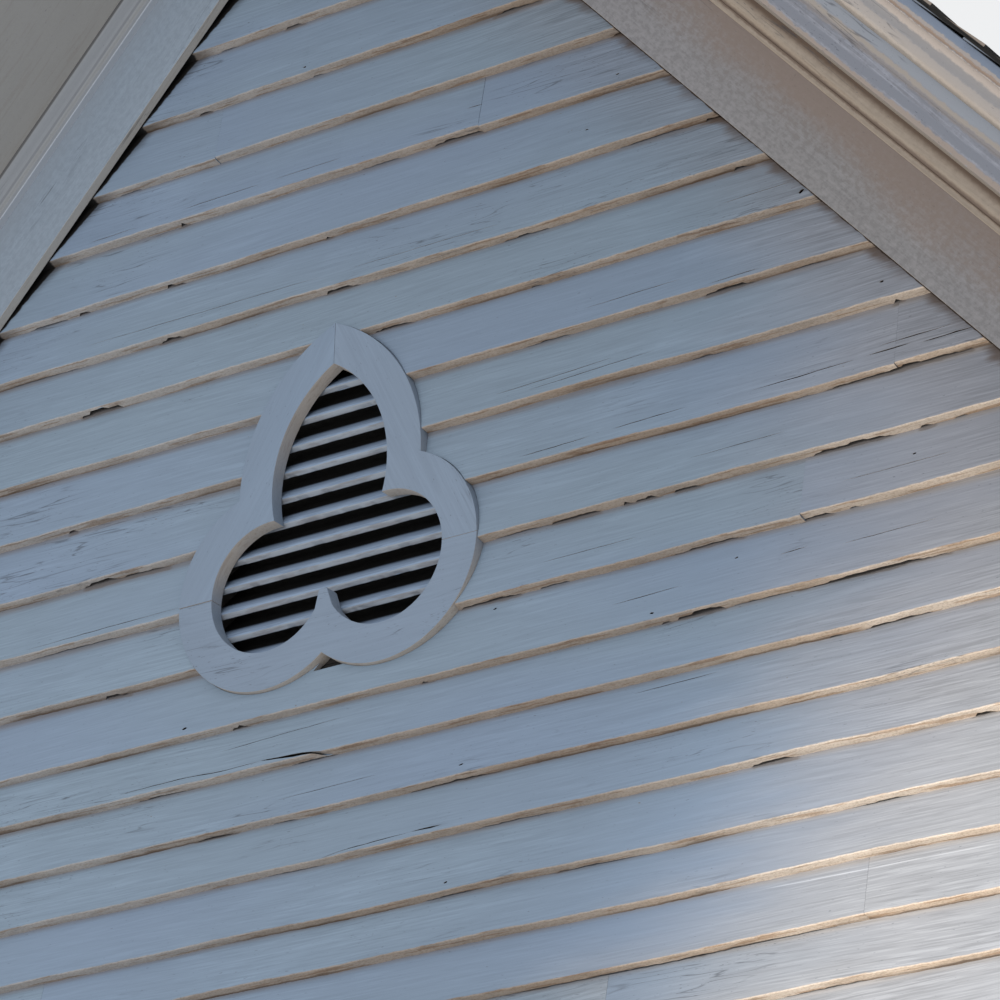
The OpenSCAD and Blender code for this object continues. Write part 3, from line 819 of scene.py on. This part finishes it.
def split(course, width, run):
    """A thin wavy lens along a run of places, to be cut from a board."""
    (start, _), (stop, _) = run[0], run[-1]
    count = max(3, round((stop - start) / 18))
    upper, lower = [], []
    for k in range(1, count):
        x = start + (stop - start) * k / count
        (x1, z1), (x2, z2) = next(pair for pair in zip(run, run[1:]) if x <= pair[1][0])
        z = z1 + (z2 - z1) * (x - x1) / (x2 - x1) + dice.uniform(-0.4, 0.4)
        half = width / 2 * math.sin(math.pi * k / count) ** 0.5 * dice.uniform(0.55, 1.0)
        upper.append(on_wall(x, z + half, 40))
        lower.append(on_wall(x, z - half, 40))
    lens = drawn_outline("split", on_wall(*run[0], 40), upper + [on_wall(*run[-1], 40)] + lower[::-1])
    out, thick = face_out(course, run[0][1])
    return thicken(lens, (0, (40 - out + 0.65 * thick) * MM, 0))


count = 0
for course, splits in SPLITS.items():
    for width, run in splits:
        tool = split(course, width, run)
        for board in boards[course]:
            if reaches(board, run[0][0], run[-1][0]):
                cut_with(board, tool)
        drop(tool)
        count += 1
print(count, "splits and holes")


def remember(board, course):
    """Keeps each point's height in its course, its depth behind the face, and where the butt above gapes."""
    low = COURSES[course]
    shown = (COURSES + [TOP_COURSE])[course + 1] - low

    def depth(p):
        out, thick = face_out(course, p.z / MM)
        behind = out - (WALL - p.y) / MM
        in_split = 0.4 * thick < behind < 0.85 * thick and 4 < p.z / MM - low < shown - 1
        return 1.0 if in_split else max(0.0, behind) * MM
    keep_number(board, "board", dice.random())
    keep_number(board, "height", lambda p: (p.z / MM - low) / shown)
    keep_number(board, "deep", depth)
    keep_number(board, "under_gape", lambda p: float(any(
        start - 6 < p.x / MM < stop + 6 and come > 4 for start, stop, come in GAPES.get(course + 1, []))))


WALLS = {"clapboards_lower": (10, "siding_lower"), "clapboards_beside_vent": (15, "siding_left", "siding_right"),
         "clapboards_upper": (len(COURSES), "siding_upper")}
first = 0
for name, (last, *nodes) in WALLS.items():
    for course in range(first, last):
        for board in boards[course]:
            remember(board, course)
    wall = join(name, [b for c in range(first, last) for b in boards[c]])
    wall.vertex_groups.clear()
    for side in (-1, 1):
        cut_off(wall, rake(side, 0, 177, 0), rake_normal(side))
    if first == 0:
        cut_off(wall, (0, 0, 0), (0, 0, -1))
    first = last
    only(wall)
    bpy.ops.object.shade_smooth_by_angle(angle=math.radians(30))
    finish_piece(wall, FINISHES["clapboard"], "clapboard_paint", *nodes)

# %% [markdown]
# The casing is three boards with their joints at the apex and across the middle of the lobes. Each is sawn from
# a plank, so its face is flat and only its edges are softened. The lower board's cusp was sawn off blunt.
# The casing's side edges and the edges facing down are painted a warm grey: painted light from the sunlit ground below.

# %% Casing
JOINT_Z = VENT_Z + 1
for name, lean in (("left", -60), ("right", 62), ("bottom", 0)):
    FINISHES["casing_" + name] = painted_wood("vent_paint_" + name, (118, 135, 156), (119, 134, 153), (180, 174, 168),
                                              lean, worn=0.6, ridged=0.25, edges=True, stained=0.4)


def soften(piece, where, width, segments=2):
    """Bevels the sharp edges whose two ends both pass the test."""
    with editing(piece):
        bpy.ops.mesh.select_mode(type="EDGE")
        mesh = bmesh.from_edit_mesh(piece.data)
        for edge in mesh.edges:
            edge.select = all(where(v.co) for v in edge.verts) and len(edge.link_faces) == 2 \
                and edge.calc_face_angle(0) > 0.6
        mesh.select_flush_mode()
        bmesh.update_edit_mesh(piece.data, loop_triangles=False, destructive=False)
        bpy.ops.mesh.bevel(offset=width * MM, segments=segments, affect="EDGES", clamp_overlap=True)
    return piece


def at_front(point):
    return abs(point.y - WALL + CASING_T * MM) < 1e-5


def finish_casing(piece, name):
    thicken(piece, (0, CASING_T * MM, 0))
    soften(piece, at_front, 1.2)
    only(piece)
    bpy.ops.object.shade_smooth_by_angle(angle=math.radians(25))
    piece.name = "vent_casing_" + name
    finish_piece(piece, FINISHES["casing_" + name], "vent_paint", "casing_" + name)


for side, name in ((1, "left"), (-1, "right")):
    finish_casing(limb_outline("limb", side, 0, CASING_W, CASING_T, JOINT_Z + (0.5 if side > 0 else -0.3)), name)


def lower_at(x, z):
    return on_wall(x, z, CASING_T)


low = JOINT_Z - 0.5
cusp_z, side_z = 1056, 1022
reach = [math.sqrt((LOBE_R + m) ** 2 - (low - VENT_Z) ** 2) for m in (0, CASING_W)]
side_x = LOBE_X - math.sqrt(LOBE_R ** 2 - (side_z - VENT_Z) ** 2)
notch = VENT_Z - math.sqrt((LOBE_R + CASING_W) ** 2 - LOBE_X ** 2)
finish_casing(drawn_outline("lower", lower_at(-LOBE_X - reach[0], low), [
    (lower_at(-LOBE_X, VENT_Z), lower_at(-side_x, side_z), 1), lower_at(-11, cusp_z - 2), lower_at(-8, cusp_z),
    lower_at(3, cusp_z + 1), lower_at(6, cusp_z - 2), lower_at(side_x, side_z),
    (lower_at(LOBE_X, VENT_Z), lower_at(LOBE_X + reach[0], low), 1), lower_at(LOBE_X + reach[1], low),
    (lower_at(LOBE_X, VENT_Z), lower_at(0, notch), -1),
    (lower_at(-LOBE_X, VENT_Z), lower_at(-LOBE_X - reach[1], low), -1)]), "bottom")

# %% [markdown]
# Eleven slats slope down to the front at 47 degrees, housed at both ends. Their front is worn pale, and what lies
# deeper is painted nearly black: painted shade, where the slat above keeps the light out, with dust. That is a change
# of colour with depth, which one material can read from the place, so every slat is a copy of one board with its own
# worn edge.

# %% Louvre slats
SLATS, SLAT_PITCH, SLAT_LOW, SLAT_Y = 11, 46.5, 971, -56.0
slats = []
for k in range(SLATS):
    turn = Matrix.Rotation(math.radians(47), 4, "X")
    middle = Vector((0, SLAT_Y * MM, (SLAT_LOW + k * SLAT_PITCH) * MM)) + turn @ Vector((0, 55, 6)) * MM
    slat = block("slat", (-0.263, -0.055, -0.006), (0.263, 0.055, 0.006))
    with editing(slat):
        select_points(slat, lambda p: p.y < -0.05 and p.z > 0)
        bpy.ops.mesh.bevel(offset=4.0 * MM, segments=3, affect="EDGES")
        select_points(slat, lambda p: p.y < -0.0549 and p.z < -0.0059)
        bpy.ops.mesh.bevel(offset=1.0 * MM, segments=1, affect="EDGES")
        select_along(slat, (1, 0, 0))
        bpy.ops.mesh.subdivide(number_cuts=70)
        bpy.ops.mesh.select_mode(type="VERT")
        for chip in range(8):
            place = dice.uniform(-0.23, 0.23)
            long = dice.uniform(0.004, 0.014)
            if select_points(slat, lambda p: abs(p.x - place) < long and p.y < -0.0535 and p.z < 0):
                shift((0, dice.uniform(0.6, 1.9) * MM, 0))
    slat.data.transform(Matrix.Translation(middle) @ turn)
    keep_number(slat, "board", dice.random())
    slats.append(slat)


def slat_paint():
    finish, base, surface = new_finish("slat_paint")
    spot = base.node("TexCoord", out=3)
    shift_by = base.node("CombineXYZ", None, {0: base.own("board") * 9.0})
    grain = base.node("VectorMath", {"operation": "ADD"}, {0: spot, 1: shift_by})
    depth = spot.place(1) + (grain.noise(14.0, (3, 1, 1), 2.0) - 0.5) * 0.009
    streak = grain.noise(150.0, (10, 1, 1), 3.0, 0.6)
    normal = base.node("NewGeometry", out=1)
    edge = (0 - normal.place(2)).fade(0.15, 0.5)
    worn = grain.noise(90.0, (5, 1, 1), 4.0, 0.65)
    colour = streak.fade(0.4, 0.7).mix(rgb(131, 149, 173), rgb(112, 129, 152))
    colour = edge.mix(colour, worn.fade(0.42, 0.62).mix(rgb(150, 158, 168), rgb(136, 139, 145)))
    # Painted shade with dust: darker deeper into the vent, then near black, and the slats' backs near black too.
    colour = (depth.fade(-0.062, -0.047) * 0.6).mix(colour, rgb(84, 98, 118))
    colour = depth.fade(-0.049, -0.040).mix(colour, rgb(2, 2, 2))
    colour = (normal.place(1).fade(0.2, 0.4)).mix(colour, rgb(2, 2, 2))
    plug(colour, surface, "Base Color")
    bump = base.node("Bump", None, {"Height": streak, "Strength": 0.4, "Distance": 0.001})
    plug(bump, surface, "Normal")
    surface.inputs["Roughness"].default_value = 0.85
    surface.inputs["Specular IOR Level"].default_value = 0.1
    return finish


FINISHES["slats"] = slat_paint()
finish_piece(join("vent_slats", slats), FINISHES["slats"], "vent_paint", "louvre_slats")

# %% [markdown]
# Every board of the cornice is sawn straight and lies on the rake, so it starts as a cuboid turned to the slope,
# longer than it needs to be. It is then sawn plumb at the apex and level at the foot, as a carpenter fits it.
# Each side has its own copy of every paint, lit differently: the left is painted blue and clean, as in the open sky's
# light, and the right warmer, as in warm light reflected from the lower left, with painted shade in its hollows.

# %% Rake boards
LEVEL = (0, 0, 0), (0, 0, -1)


def down_slope(side):
    return Vector((side * math.cos(SLOPE), 0, -math.sin(SLOPE)))


def rake_block(name, side, down, square, proud):
    """A cuboid on the rake, between two distances each way in mm."""
    middle = rake(side, *(sum(pair) / 2 for pair in (down, square, proud)))
    sizes = [(pair[1] - pair[0]) * MM for pair in (down, proud, square)]
    deselect_all()
    bpy.ops.mesh.primitive_cube_add(size=1, location=middle, rotation=(0, side * SLOPE, 0), scale=sizes)
    return apply_place(bpy.context.object, name)


def ease_edges(piece, direction, width, segments=2):
    """Rounds the long edges a little, as a plane and many coats of paint do."""
    with editing(piece):
        select_along(piece, direction)
        bpy.ops.mesh.bevel(offset=width * MM, segments=segments, affect="EDGES")
    return piece


def saw_to_gable(piece, side):
    cut_off(piece, (0, 0, 0), (-side, 0, 0))
    return cut_off(piece, *LEVEL)


def saw_and_divide(piece, side, length=100):
    """Saws a long piece to the gable and divides its faces. Rays find short faces faster than long sloping ones."""
    saw_to_gable(piece, side)
    along = down_slope(side)
    reach = [along.dot(point.co) for point in piece.data.vertices]
    place = min(reach) + length * MM
    with editing(piece):
        while place < max(reach):
            bpy.ops.mesh.select_all(action="SELECT")
            bpy.ops.mesh.bisect(plane_co=along * place, plane_no=along, threshold=1e-6)
            place += length * MM
    return piece


def paint_pair(name, left, right):
    """The same board's paint on both sides: the grain follows each rake."""
    for side, hand, settings in ((-1, "left", left), (1, "right", right)):
        FINISHES[name + "_" + hand] = painted_wood(name + "_paint_" + hand, lean=48 * side, side=side, **settings)


# The bands across the section are painted light and shade: each frieze turns warmer and greyer toward the soffit, and
# the right fascia has light and dark stripes where its edges and bevel turn to the light.
paint_pair("frieze", dict(face=(133, 146, 161), tint=(133, 145, 158), under=(178, 176, 172), worn=0.45, ridged=0.35,
                          stained=0.3, mottled=0.5, wander=0.05, tones=[((80, 160), None, (133, 142, 153), 1.0)]),
           dict(face=(132, 132, 137), tint=(131, 130, 132), under=(190, 176, 160), worn=0.7, ridged=0.3, stained=0.6,
                mottled=1.0, wander=0.14, tones=[((35, 130), None, (131, 118, 111), 0.85)]))
paint_pair("soffit", dict(face=(160, 160, 158), tint=(158, 157, 156), under=(166, 165, 163), worn=0.1, ridged=0.2,
                          stained=0.2),
           dict(face=(172, 160, 146), tint=(168, 156, 142), under=(172, 160, 146), worn=0.2, ridged=0.3, stained=0.2))
paint_pair("fascia", dict(face=(136, 144, 156), tint=(132, 139, 148), under=(176, 170, 162), worn=0.7, ridged=1.0),
           dict(face=(131, 134, 144), tint=(129, 132, 141), under=(186, 176, 162), worn=0.9, ridged=0.8, stained=0.4,
                mottled=0.6, wander=0.014,
                tones=[((176, 178), (184, 188), (146, 135, 128), 1.0), ((188, 191), (201, 205), (119, 123, 133), 1.0),
                       ((214, 219), (222, 225), (138, 134, 135), 1.0), ((222, 225), (229, 234), (150, 143, 137), 1.0),
                       ((229, 234), None, (138, 143, 152), 1.0)]))
for side, hand in ((-1, "left"), (1, "right")):
    along = down_slope(side)
    frieze = ease_edges(rake_block("frieze_board_" + hand, side, (-400, 3900), (0, 177.5), (25, 44)), along, 1.2)
    finish_piece(saw_and_divide(frieze, side), FINISHES["frieze_" + hand], "trim_paint", "frieze_" + hand)
    soffit = ease_edges(rake_block("soffit_board_" + hand, side, (-400, 3900), (178, 194), (0, 331)), along, 0.8)
    finish_piece(saw_and_divide(soffit, side), FINISHES["soffit_" + hand], "trim_paint", "soffit_" + hand)
    fascia = ease_edges(rake_block("fascia_lower_" + hand, side, (-400, 3900), (178, 300), (331, 350)), along, 1.2)
    finish_piece(saw_and_divide(fascia, side), FINISHES["fascia_" + hand], "fascia_paint", "lower_fascia_" + hand)
    fascia = rake_block("fascia_upper_" + hand, side, (-400, 3900), (220, 300), (350, 360))
    with editing(fascia):
        nose = rake(side, 0, 220, 360)
        select_points(fascia, lambda p: abs((p - nose).dot(rake_normal(side))) < 1e-4 and abs(p.y - nose.y) < 1e-4)
        bpy.ops.mesh.bevel(offset=4 * MM, segments=1, affect="EDGES")
    finish_piece(saw_and_divide(fascia, side), FINISHES["fascia_" + hand], "fascia_paint", "upper_fascia_" + hand)

# %% [markdown]
# The two mouldings have a section that was cut once by a plane and runs the whole length. So the section is drawn
# from a point, filled, and pushed down the rake. The bed mould has a fillet, a quirk and a round that flares out to
# the soffit; the crown is a cyma, round below and hollow above, with a flat edge over it.

# %% Mouldings
def curve(points, steps=8):
    """Places along a smooth line through four points of a section."""
    a, b, c, d = (Vector(p) for p in points)
    return [tuple(a * (1 - t) ** 3 + b * 3 * t * (1 - t) ** 2 + c * 3 * t ** 2 * (1 - t) + d * t ** 3)
            for t in (k / steps for k in range(1, steps + 1))]


# Each place in a section is its distance square to the rake and its distance in front of the sheathing, in mm
BED = ([(133, 44), (133, 57.5), (134, 58.4), (141, 58.4), (142, 59), (143.5, 62), (144.2, 60.5), (145.2, 61.8)]
       + curve([(145.2, 61.8), (148, 66), (152, 69), (157, 70)])
       + curve([(157, 70), (165, 71), (171, 72.5), (175.5, 77)])
       + [(178, 79), (178, 44)])
CROWN = ([(249, 360)] + [(249 + 23.5 * (1 - math.cos(a)), 360 + 23 * math.sin(a))
                         for a in (math.radians(9 * k) for k in range(1, 11))]
         + [(272.5 + 23.5 * math.sin(a), 383 + 20 * (1 - math.cos(a)))
            for a in (math.radians(9 * k) for k in range(1, 11))]
         + [(299, 403), (299, 405), (300, 406), (319, 406), (320, 405), (320, 360)])


def moulding(name, side, section, finish, *nodes):
    first, *others = [rake(side, -400, *point) for point in section]
    piece = thicken(drawn_outline(name, first, others), down_slope(side) * 4.4)
    saw_and_divide(piece, side)
    only(piece)
    bpy.ops.object.shade_smooth_by_angle(angle=math.radians(25))
    return finish_piece(piece, finish, "moulding_paint", *nodes)


# The bands across the mouldings' sections are painted light and shade: dark in quirks, hollows and the corner under the
# soffit, and lighter where a round or an edge turns to the light.
paint_pair("bed", dict(face=(135, 140, 147), tint=(133, 138, 144), under=(154, 157, 160), worn=0.3, ridged=0.3,
                       stained=0.15, tones=[((147, 148), (150, 151.5), (120, 124, 131), 0.9),
                                            ((131, 132.5), (134, 135.5), (169, 177, 188), 1),
                                            ((173.5, 175.5), None, (84, 85, 87), 1.0)]),
           dict(face=(158, 147, 136), tint=(154, 143, 131), under=(170, 156, 140), worn=0.4, ridged=0.5, stained=0.4,
                turn=(0.05, 0.55), mottled=0.4, wander=0.006, tones=[((139, 142), (146, 151), (120, 105, 94), 1.0),
                                          ((160, 175), None, (94, 78, 66), 1.0)]))
paint_pair("crown", dict(face=(140, 148, 160), tint=(138, 145, 154), under=(176, 168, 158), worn=0.3, ridged=0.5,
                         stained=0.3, turn=(0.05, 0.55)),
           dict(face=(134, 138, 147), tint=(132, 135, 142), under=(190, 179, 168), worn=0.4, ridged=0.5, stained=0.3,
                turn=(0.05, 0.55), mottled=0.4, wander=0.012, tones=[((246, 249), (251, 256), (146, 138, 130), 0.7),
                                          ((258, 263), (270, 275), (166, 158, 152), 0.8),
                                          ((270, 275), (284, 288), (143, 140, 140), 0.8),
                                          ((284, 288), (295, 297), (186, 174, 165), 1.0),
                                          ((296, 297.5), (300.5, 302), (150, 132, 119), 1.0),
                                          ((300.5, 302), (305, 307), (160, 151, 146), 0.9),
                                          ((305, 308), None, (117, 129, 148), 0.9)]))
for side, hand in ((-1, "left"), (1, "right")):
    moulding("bed_moulding_" + hand, side, BED, FINISHES["bed_" + hand], "bed_mould_" + hand)
    moulding("crown_moulding_" + hand, side, CROWN, FINISHES["crown_" + hand], "crown_mould_" + hand)

# %% [markdown]
# The roof is boarded across the rafters and covered in shingles, each a thin tapered slab that laps the course
# below. Their ends make the ragged dark line over the crown, so they are modelled one by one, from one cuboid
# whose points are moved to a shingle's taper.

# %% Roof deck and shingles
def felt(name, face, speck):
    finish, base, surface = new_finish(name)
    spot = base.node("TexCoord", out=3)
    grit = spot.noise(900.0, detail=2.0)
    broad = spot.noise(5.0, detail=3.0)
    colour = grit.fade(0.4, 0.7).mix(rgb(*face), rgb(*speck))
    colour = (broad.fade(0.4, 0.7) * 0.5).mix(colour, rgb(66, 64, 60))
    colour = (base.own("board") * 0.5).mix(colour, rgb(34, 34, 35))
    ends = (0 - base.node("NewGeometry", out=1).place(1)).fade(0.7, 0.9)
    over = base.own("height")
    sawn = (over.fade(0.6, 0.72) * 0.8).mix(rgb(14, 12, 11), rgb(150, 138, 128))
    colour = ends.mix(colour, over.fade(0.16, 0.24).mix(rgb(116, 124, 136), sawn))
    plug(colour, surface, "Base Color")
    bump = base.node("Bump", None, {"Height": grit + broad * 0.5, "Strength": 0.6, "Distance": 0.0008})
    plug(bump, surface, "Normal")
    surface.inputs["Roughness"].default_value = 0.92
    return finish


def rough_timber(name, turn, face=(168, 138, 104), dark=(122, 92, 64), front=None, inside=False):
    """Sawn wood with its grain along X before it is turned about Y or Z, in degrees. Its front, or all of it before the
    back edge, may be painted near black, as painted shade where the wood lies in the dark."""
    finish, base, surface = new_finish(name)
    spot = base.node("TexCoord", out=3)
    grain = base.node("Mapping", None, {"Vector": spot, "Rotation": tuple(math.radians(a) for a in turn)})
    rings = grain.noise(30.0, (14, 1, 1), 4.0, 0.6)
    saw = grain.noise(160.0, (1, 5, 5), 2.0)
    old = spot.noise(3.0, detail=4.0)
    colour = rings.fade(0.35, 0.68).mix(rgb(*face), rgb(*dark))
    colour = (old.fade(0.4, 0.7) * 0.5).mix(colour, rgb(112, 100, 88))
    colour = (saw.fade(0.5, 0.75) * 0.25).mix(colour, rgb(84, 66, 50))
    # Painted shade: the front faces, or a lining all before its back edge, turn near black.
    if front:
        painted_dark = (0 - base.node("NewGeometry", out=1).place(1)).fade(0.3, 0.6)
        if inside:
            painted_dark = 1 - spot.place(1).fade(0.015, 0.024)
        colour = painted_dark.mix(colour, rgb(*front))
    plug(colour, surface, "Base Color")
    bump = base.node("Bump", None, {"Height": rings * 0.6 + saw * 0.5, "Strength": 0.5, "Distance": 0.001})
    plug(bump, surface, "Normal")
    surface.inputs["Roughness"].default_value = 0.85
    return finish


FINISHES["shingle"] = felt("shingle_felt", (50, 50, 52), (78, 77, 76))
FINISHES["deck"] = rough_timber("deck_board", (0, 0, 90), (150, 122, 92), (104, 80, 58))


def shingle(side, course, near, far):
    """One slab from its butt up under the next course, between two distances in front of the sheathing."""
    butt, head = 130 * course, 130 * (course - 1) - 40
    slab = rake_block("shingle", side, (head, butt), (320, 334), (near, far))
    normal, down = rake_normal(side), down_slope(side)
    corner = rake(side, butt, 327, near)
    with editing(slab):
        for at_butt, over, drop_by in ((True, False, 7), (False, True, -8.7)):
            select_points(slab, lambda p: ((p - corner).dot(down) > -1e-3) == at_butt
                          and ((p - corner).dot(normal) > 0) == over)
            shift(normal * drop_by * MM)
    keep_number(slab, "board", dice.random())
    keep_number(slab, "height", lambda p: ((p - corner).dot(normal) / MM + 7) / 14)
    return slab


for side, hand in ((-1, "left"), (1, "right")):
    planks = [rake_block("plank", side, (s, s + 138), (300, 320), (-110, 360)) for s in range(-380, 3780, 140)]
    deck = join("roof_boards_" + hand, planks)
    finish_piece(saw_to_gable(deck, side), FINISHES["deck"], "rough_board", "roof_deck_" + hand)
    slabs = []
    for course in range(-2, 30):
        near = -110
        while near < 418:
            far = near + dice.uniform(120, 190)
            if far > 370:
                far = 418 - dice.uniform(0, 5)
            slabs.append(shingle(side, course, near, far))
            near = far + 3
            if far > 400:
                break
    cover = join("shingle_courses_" + hand, slabs)
    finish_piece(saw_to_gable(cover, side), FINISHES["shingle"], "shingle", "shingles_" + hand)

# %% Ridge caps
CAP_HALF, CAP_THICK = 0.0937, 0.007
ridge = APEX + 0.334 / math.cos(SLOPE)
caps = []
for k in range(4):
    front = -0.483 + 0.132 * k
    rear = min(front + 0.150, 0.045)
    cap = block("cap", (-CAP_HALF, front, 0), (CAP_HALF, rear, CAP_THICK / math.cos(SLOPE)))
    with editing(cap):
        select_along(cap, (1, 0, 0))
        bpy.ops.mesh.subdivide(number_cuts=1)
        bpy.ops.mesh.select_mode(type="VERT")
        select_points(cap, lambda p: abs(p.x) < 1e-4)
        shift((0, 0, ridge))
        select_points(cap, lambda p: abs(p.x) > 1e-4)
        shift((0, 0, ridge - CAP_HALF * math.tan(SLOPE)))
        select_points(cap, lambda p: p.y > rear - 1e-4)
        shift((0, 0, -0.0035))
    keep_number(cap, "board", dice.random())
    caps.append(cap)
finish_piece(join("ridge_shingles", caps), FINISHES["shingle"], "shingle", "ridge_cap")

# %% [markdown]
# Behind the clapboards the wall is sheathed in level boards, open for the vent. They are seen from the back,
# between the studs, with a narrow gap at each joint.

# %% Sheathing
# Its front, seen only through gaps in the clapboards, is painted near black: painted shade.
FINISHES["sheathing"] = rough_timber("sheathing_board", (0, 0, 0), (160, 128, 94), (112, 84, 58), front=(10, 8, 7))
(ROUGH_LEFT, _, ROUGH_LOW), (_, _, ROUGH_HIGH) = ([v / MM for v in corner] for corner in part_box("insect_screen"))


def sheathing(name, node, low, high, rows, left=None, right=None):
    step = (high - low) / rows
    planks = []
    for row in range(rows):
        z = low + row * step
        wide = half_width(300, z)
        planks.append(block("plank", ((left if left is not None else -wide) * MM, WALL, (z + (1 if row else 0)) * MM),
                            ((right if right is not None else wide) * MM, WALL + 0.02, (z + step - 1) * MM)))
    wall = join(name, planks)
    for side in (-1, 1):
        cut_off(wall, rake(side, 0, 300, 0), rake_normal(side))
    return finish_piece(wall, FINISHES["sheathing"], "rough_board", node)


print("rough opening", round(ROUGH_LEFT), round(ROUGH_LOW), round(ROUGH_HIGH))
sheathing("sheathing_boards_lower", "sheathing_lower", 0, ROUGH_LOW, 5)
sheathing("sheathing_boards_left", "sheathing_left", ROUGH_LOW, ROUGH_HIGH, 3, right=ROUGH_LEFT)
sheathing("sheathing_boards_right", "sheathing_right", ROUGH_LOW, ROUGH_HIGH, 3, left=-ROUGH_LEFT)
sheathing("sheathing_boards_upper", "sheathing_upper", ROUGH_HIGH, 3012, 8)

# %% [markdown]
# The insect screen is a square mesh of dull wire. One wire each way is enough, and the Array modifier lays out
# the rest, which keeps each wire to a few faces.

# %% Insect screen
MESH = 0.004


def wires(low, high, step, count):
    wire = block("wire", low, high)
    apply_modifier(wire, "ARRAY", count=count, use_relative_offset=False, use_constant_offset=True,
                   constant_offset_displace=step)
    return wire


low, high = ROUGH_LOW * MM, ROUGH_HIGH * MM
level_wires = wires((-0.273, 0.0232, low), (0.273, 0.0235, low + 0.0003), (0, 0, MESH), int((high - low) / MESH) + 1)
plumb_wires = wires((-0.2729, 0.0235, low), (-0.2726, 0.0238, high), (MESH, 0, 0), 137)
screen_finish, base, surface = new_finish("screen_wire")
dull = base.node("TexCoord", out=3).noise(40.0)
plug(dull.fade(0.3, 0.7).mix(rgb(70, 70, 69), rgb(44, 43, 41)), surface, "Base Color")
surface.inputs["Metallic"].default_value = 0.6
surface.inputs["Roughness"].default_value = 0.6
finish_piece(join("screen_wires", [level_wires, plumb_wires]), screen_finish, "screen_wire", "insect_screen")

# %% [markdown]
# The frame behind is plain sawn timber, and its CAD shapes are right as they are. Only the direction of the grain
# differs, so each member gets the finish whose grain runs along it.

# %% Framing timber
TIMBER = {
    "upright": (rough_timber("timber_upright", (0, 90, 0)),
                ["studs_left", "studs_right", "trimmer_left", "trimmer_right", "cripple_studs"]),
    "level": (rough_timber("timber_level", (0, 0, 0)), ["bottom_plate", "vent_header", "vent_sill"]),
    # The vent's lining is painted near black except at its back edge: painted shade inside the vent.
    "lining": (rough_timber("timber_lining", (0, 0, 0), front=(24, 20, 18), inside=True), ["louvre_frame"]),
    "right": (rough_timber("timber_right", (0, -48, 0)), ["rafter_right", "barge_rafter_right"]),
    "left": (rough_timber("timber_left", (0, 48, 0)), ["rafter_left", "barge_rafter_left"]),
    "outward": (rough_timber("timber_outward", (0, 0, 90)), ["lookouts_left", "lookouts_right"]),
}
for finish, names in TIMBER.values():
    for name in names:
        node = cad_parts[name]
        node.data.materials.clear()
        node.data.materials.append(finish)
print(sum(len(names) for _, names in TIMBER.values()), "framing members")
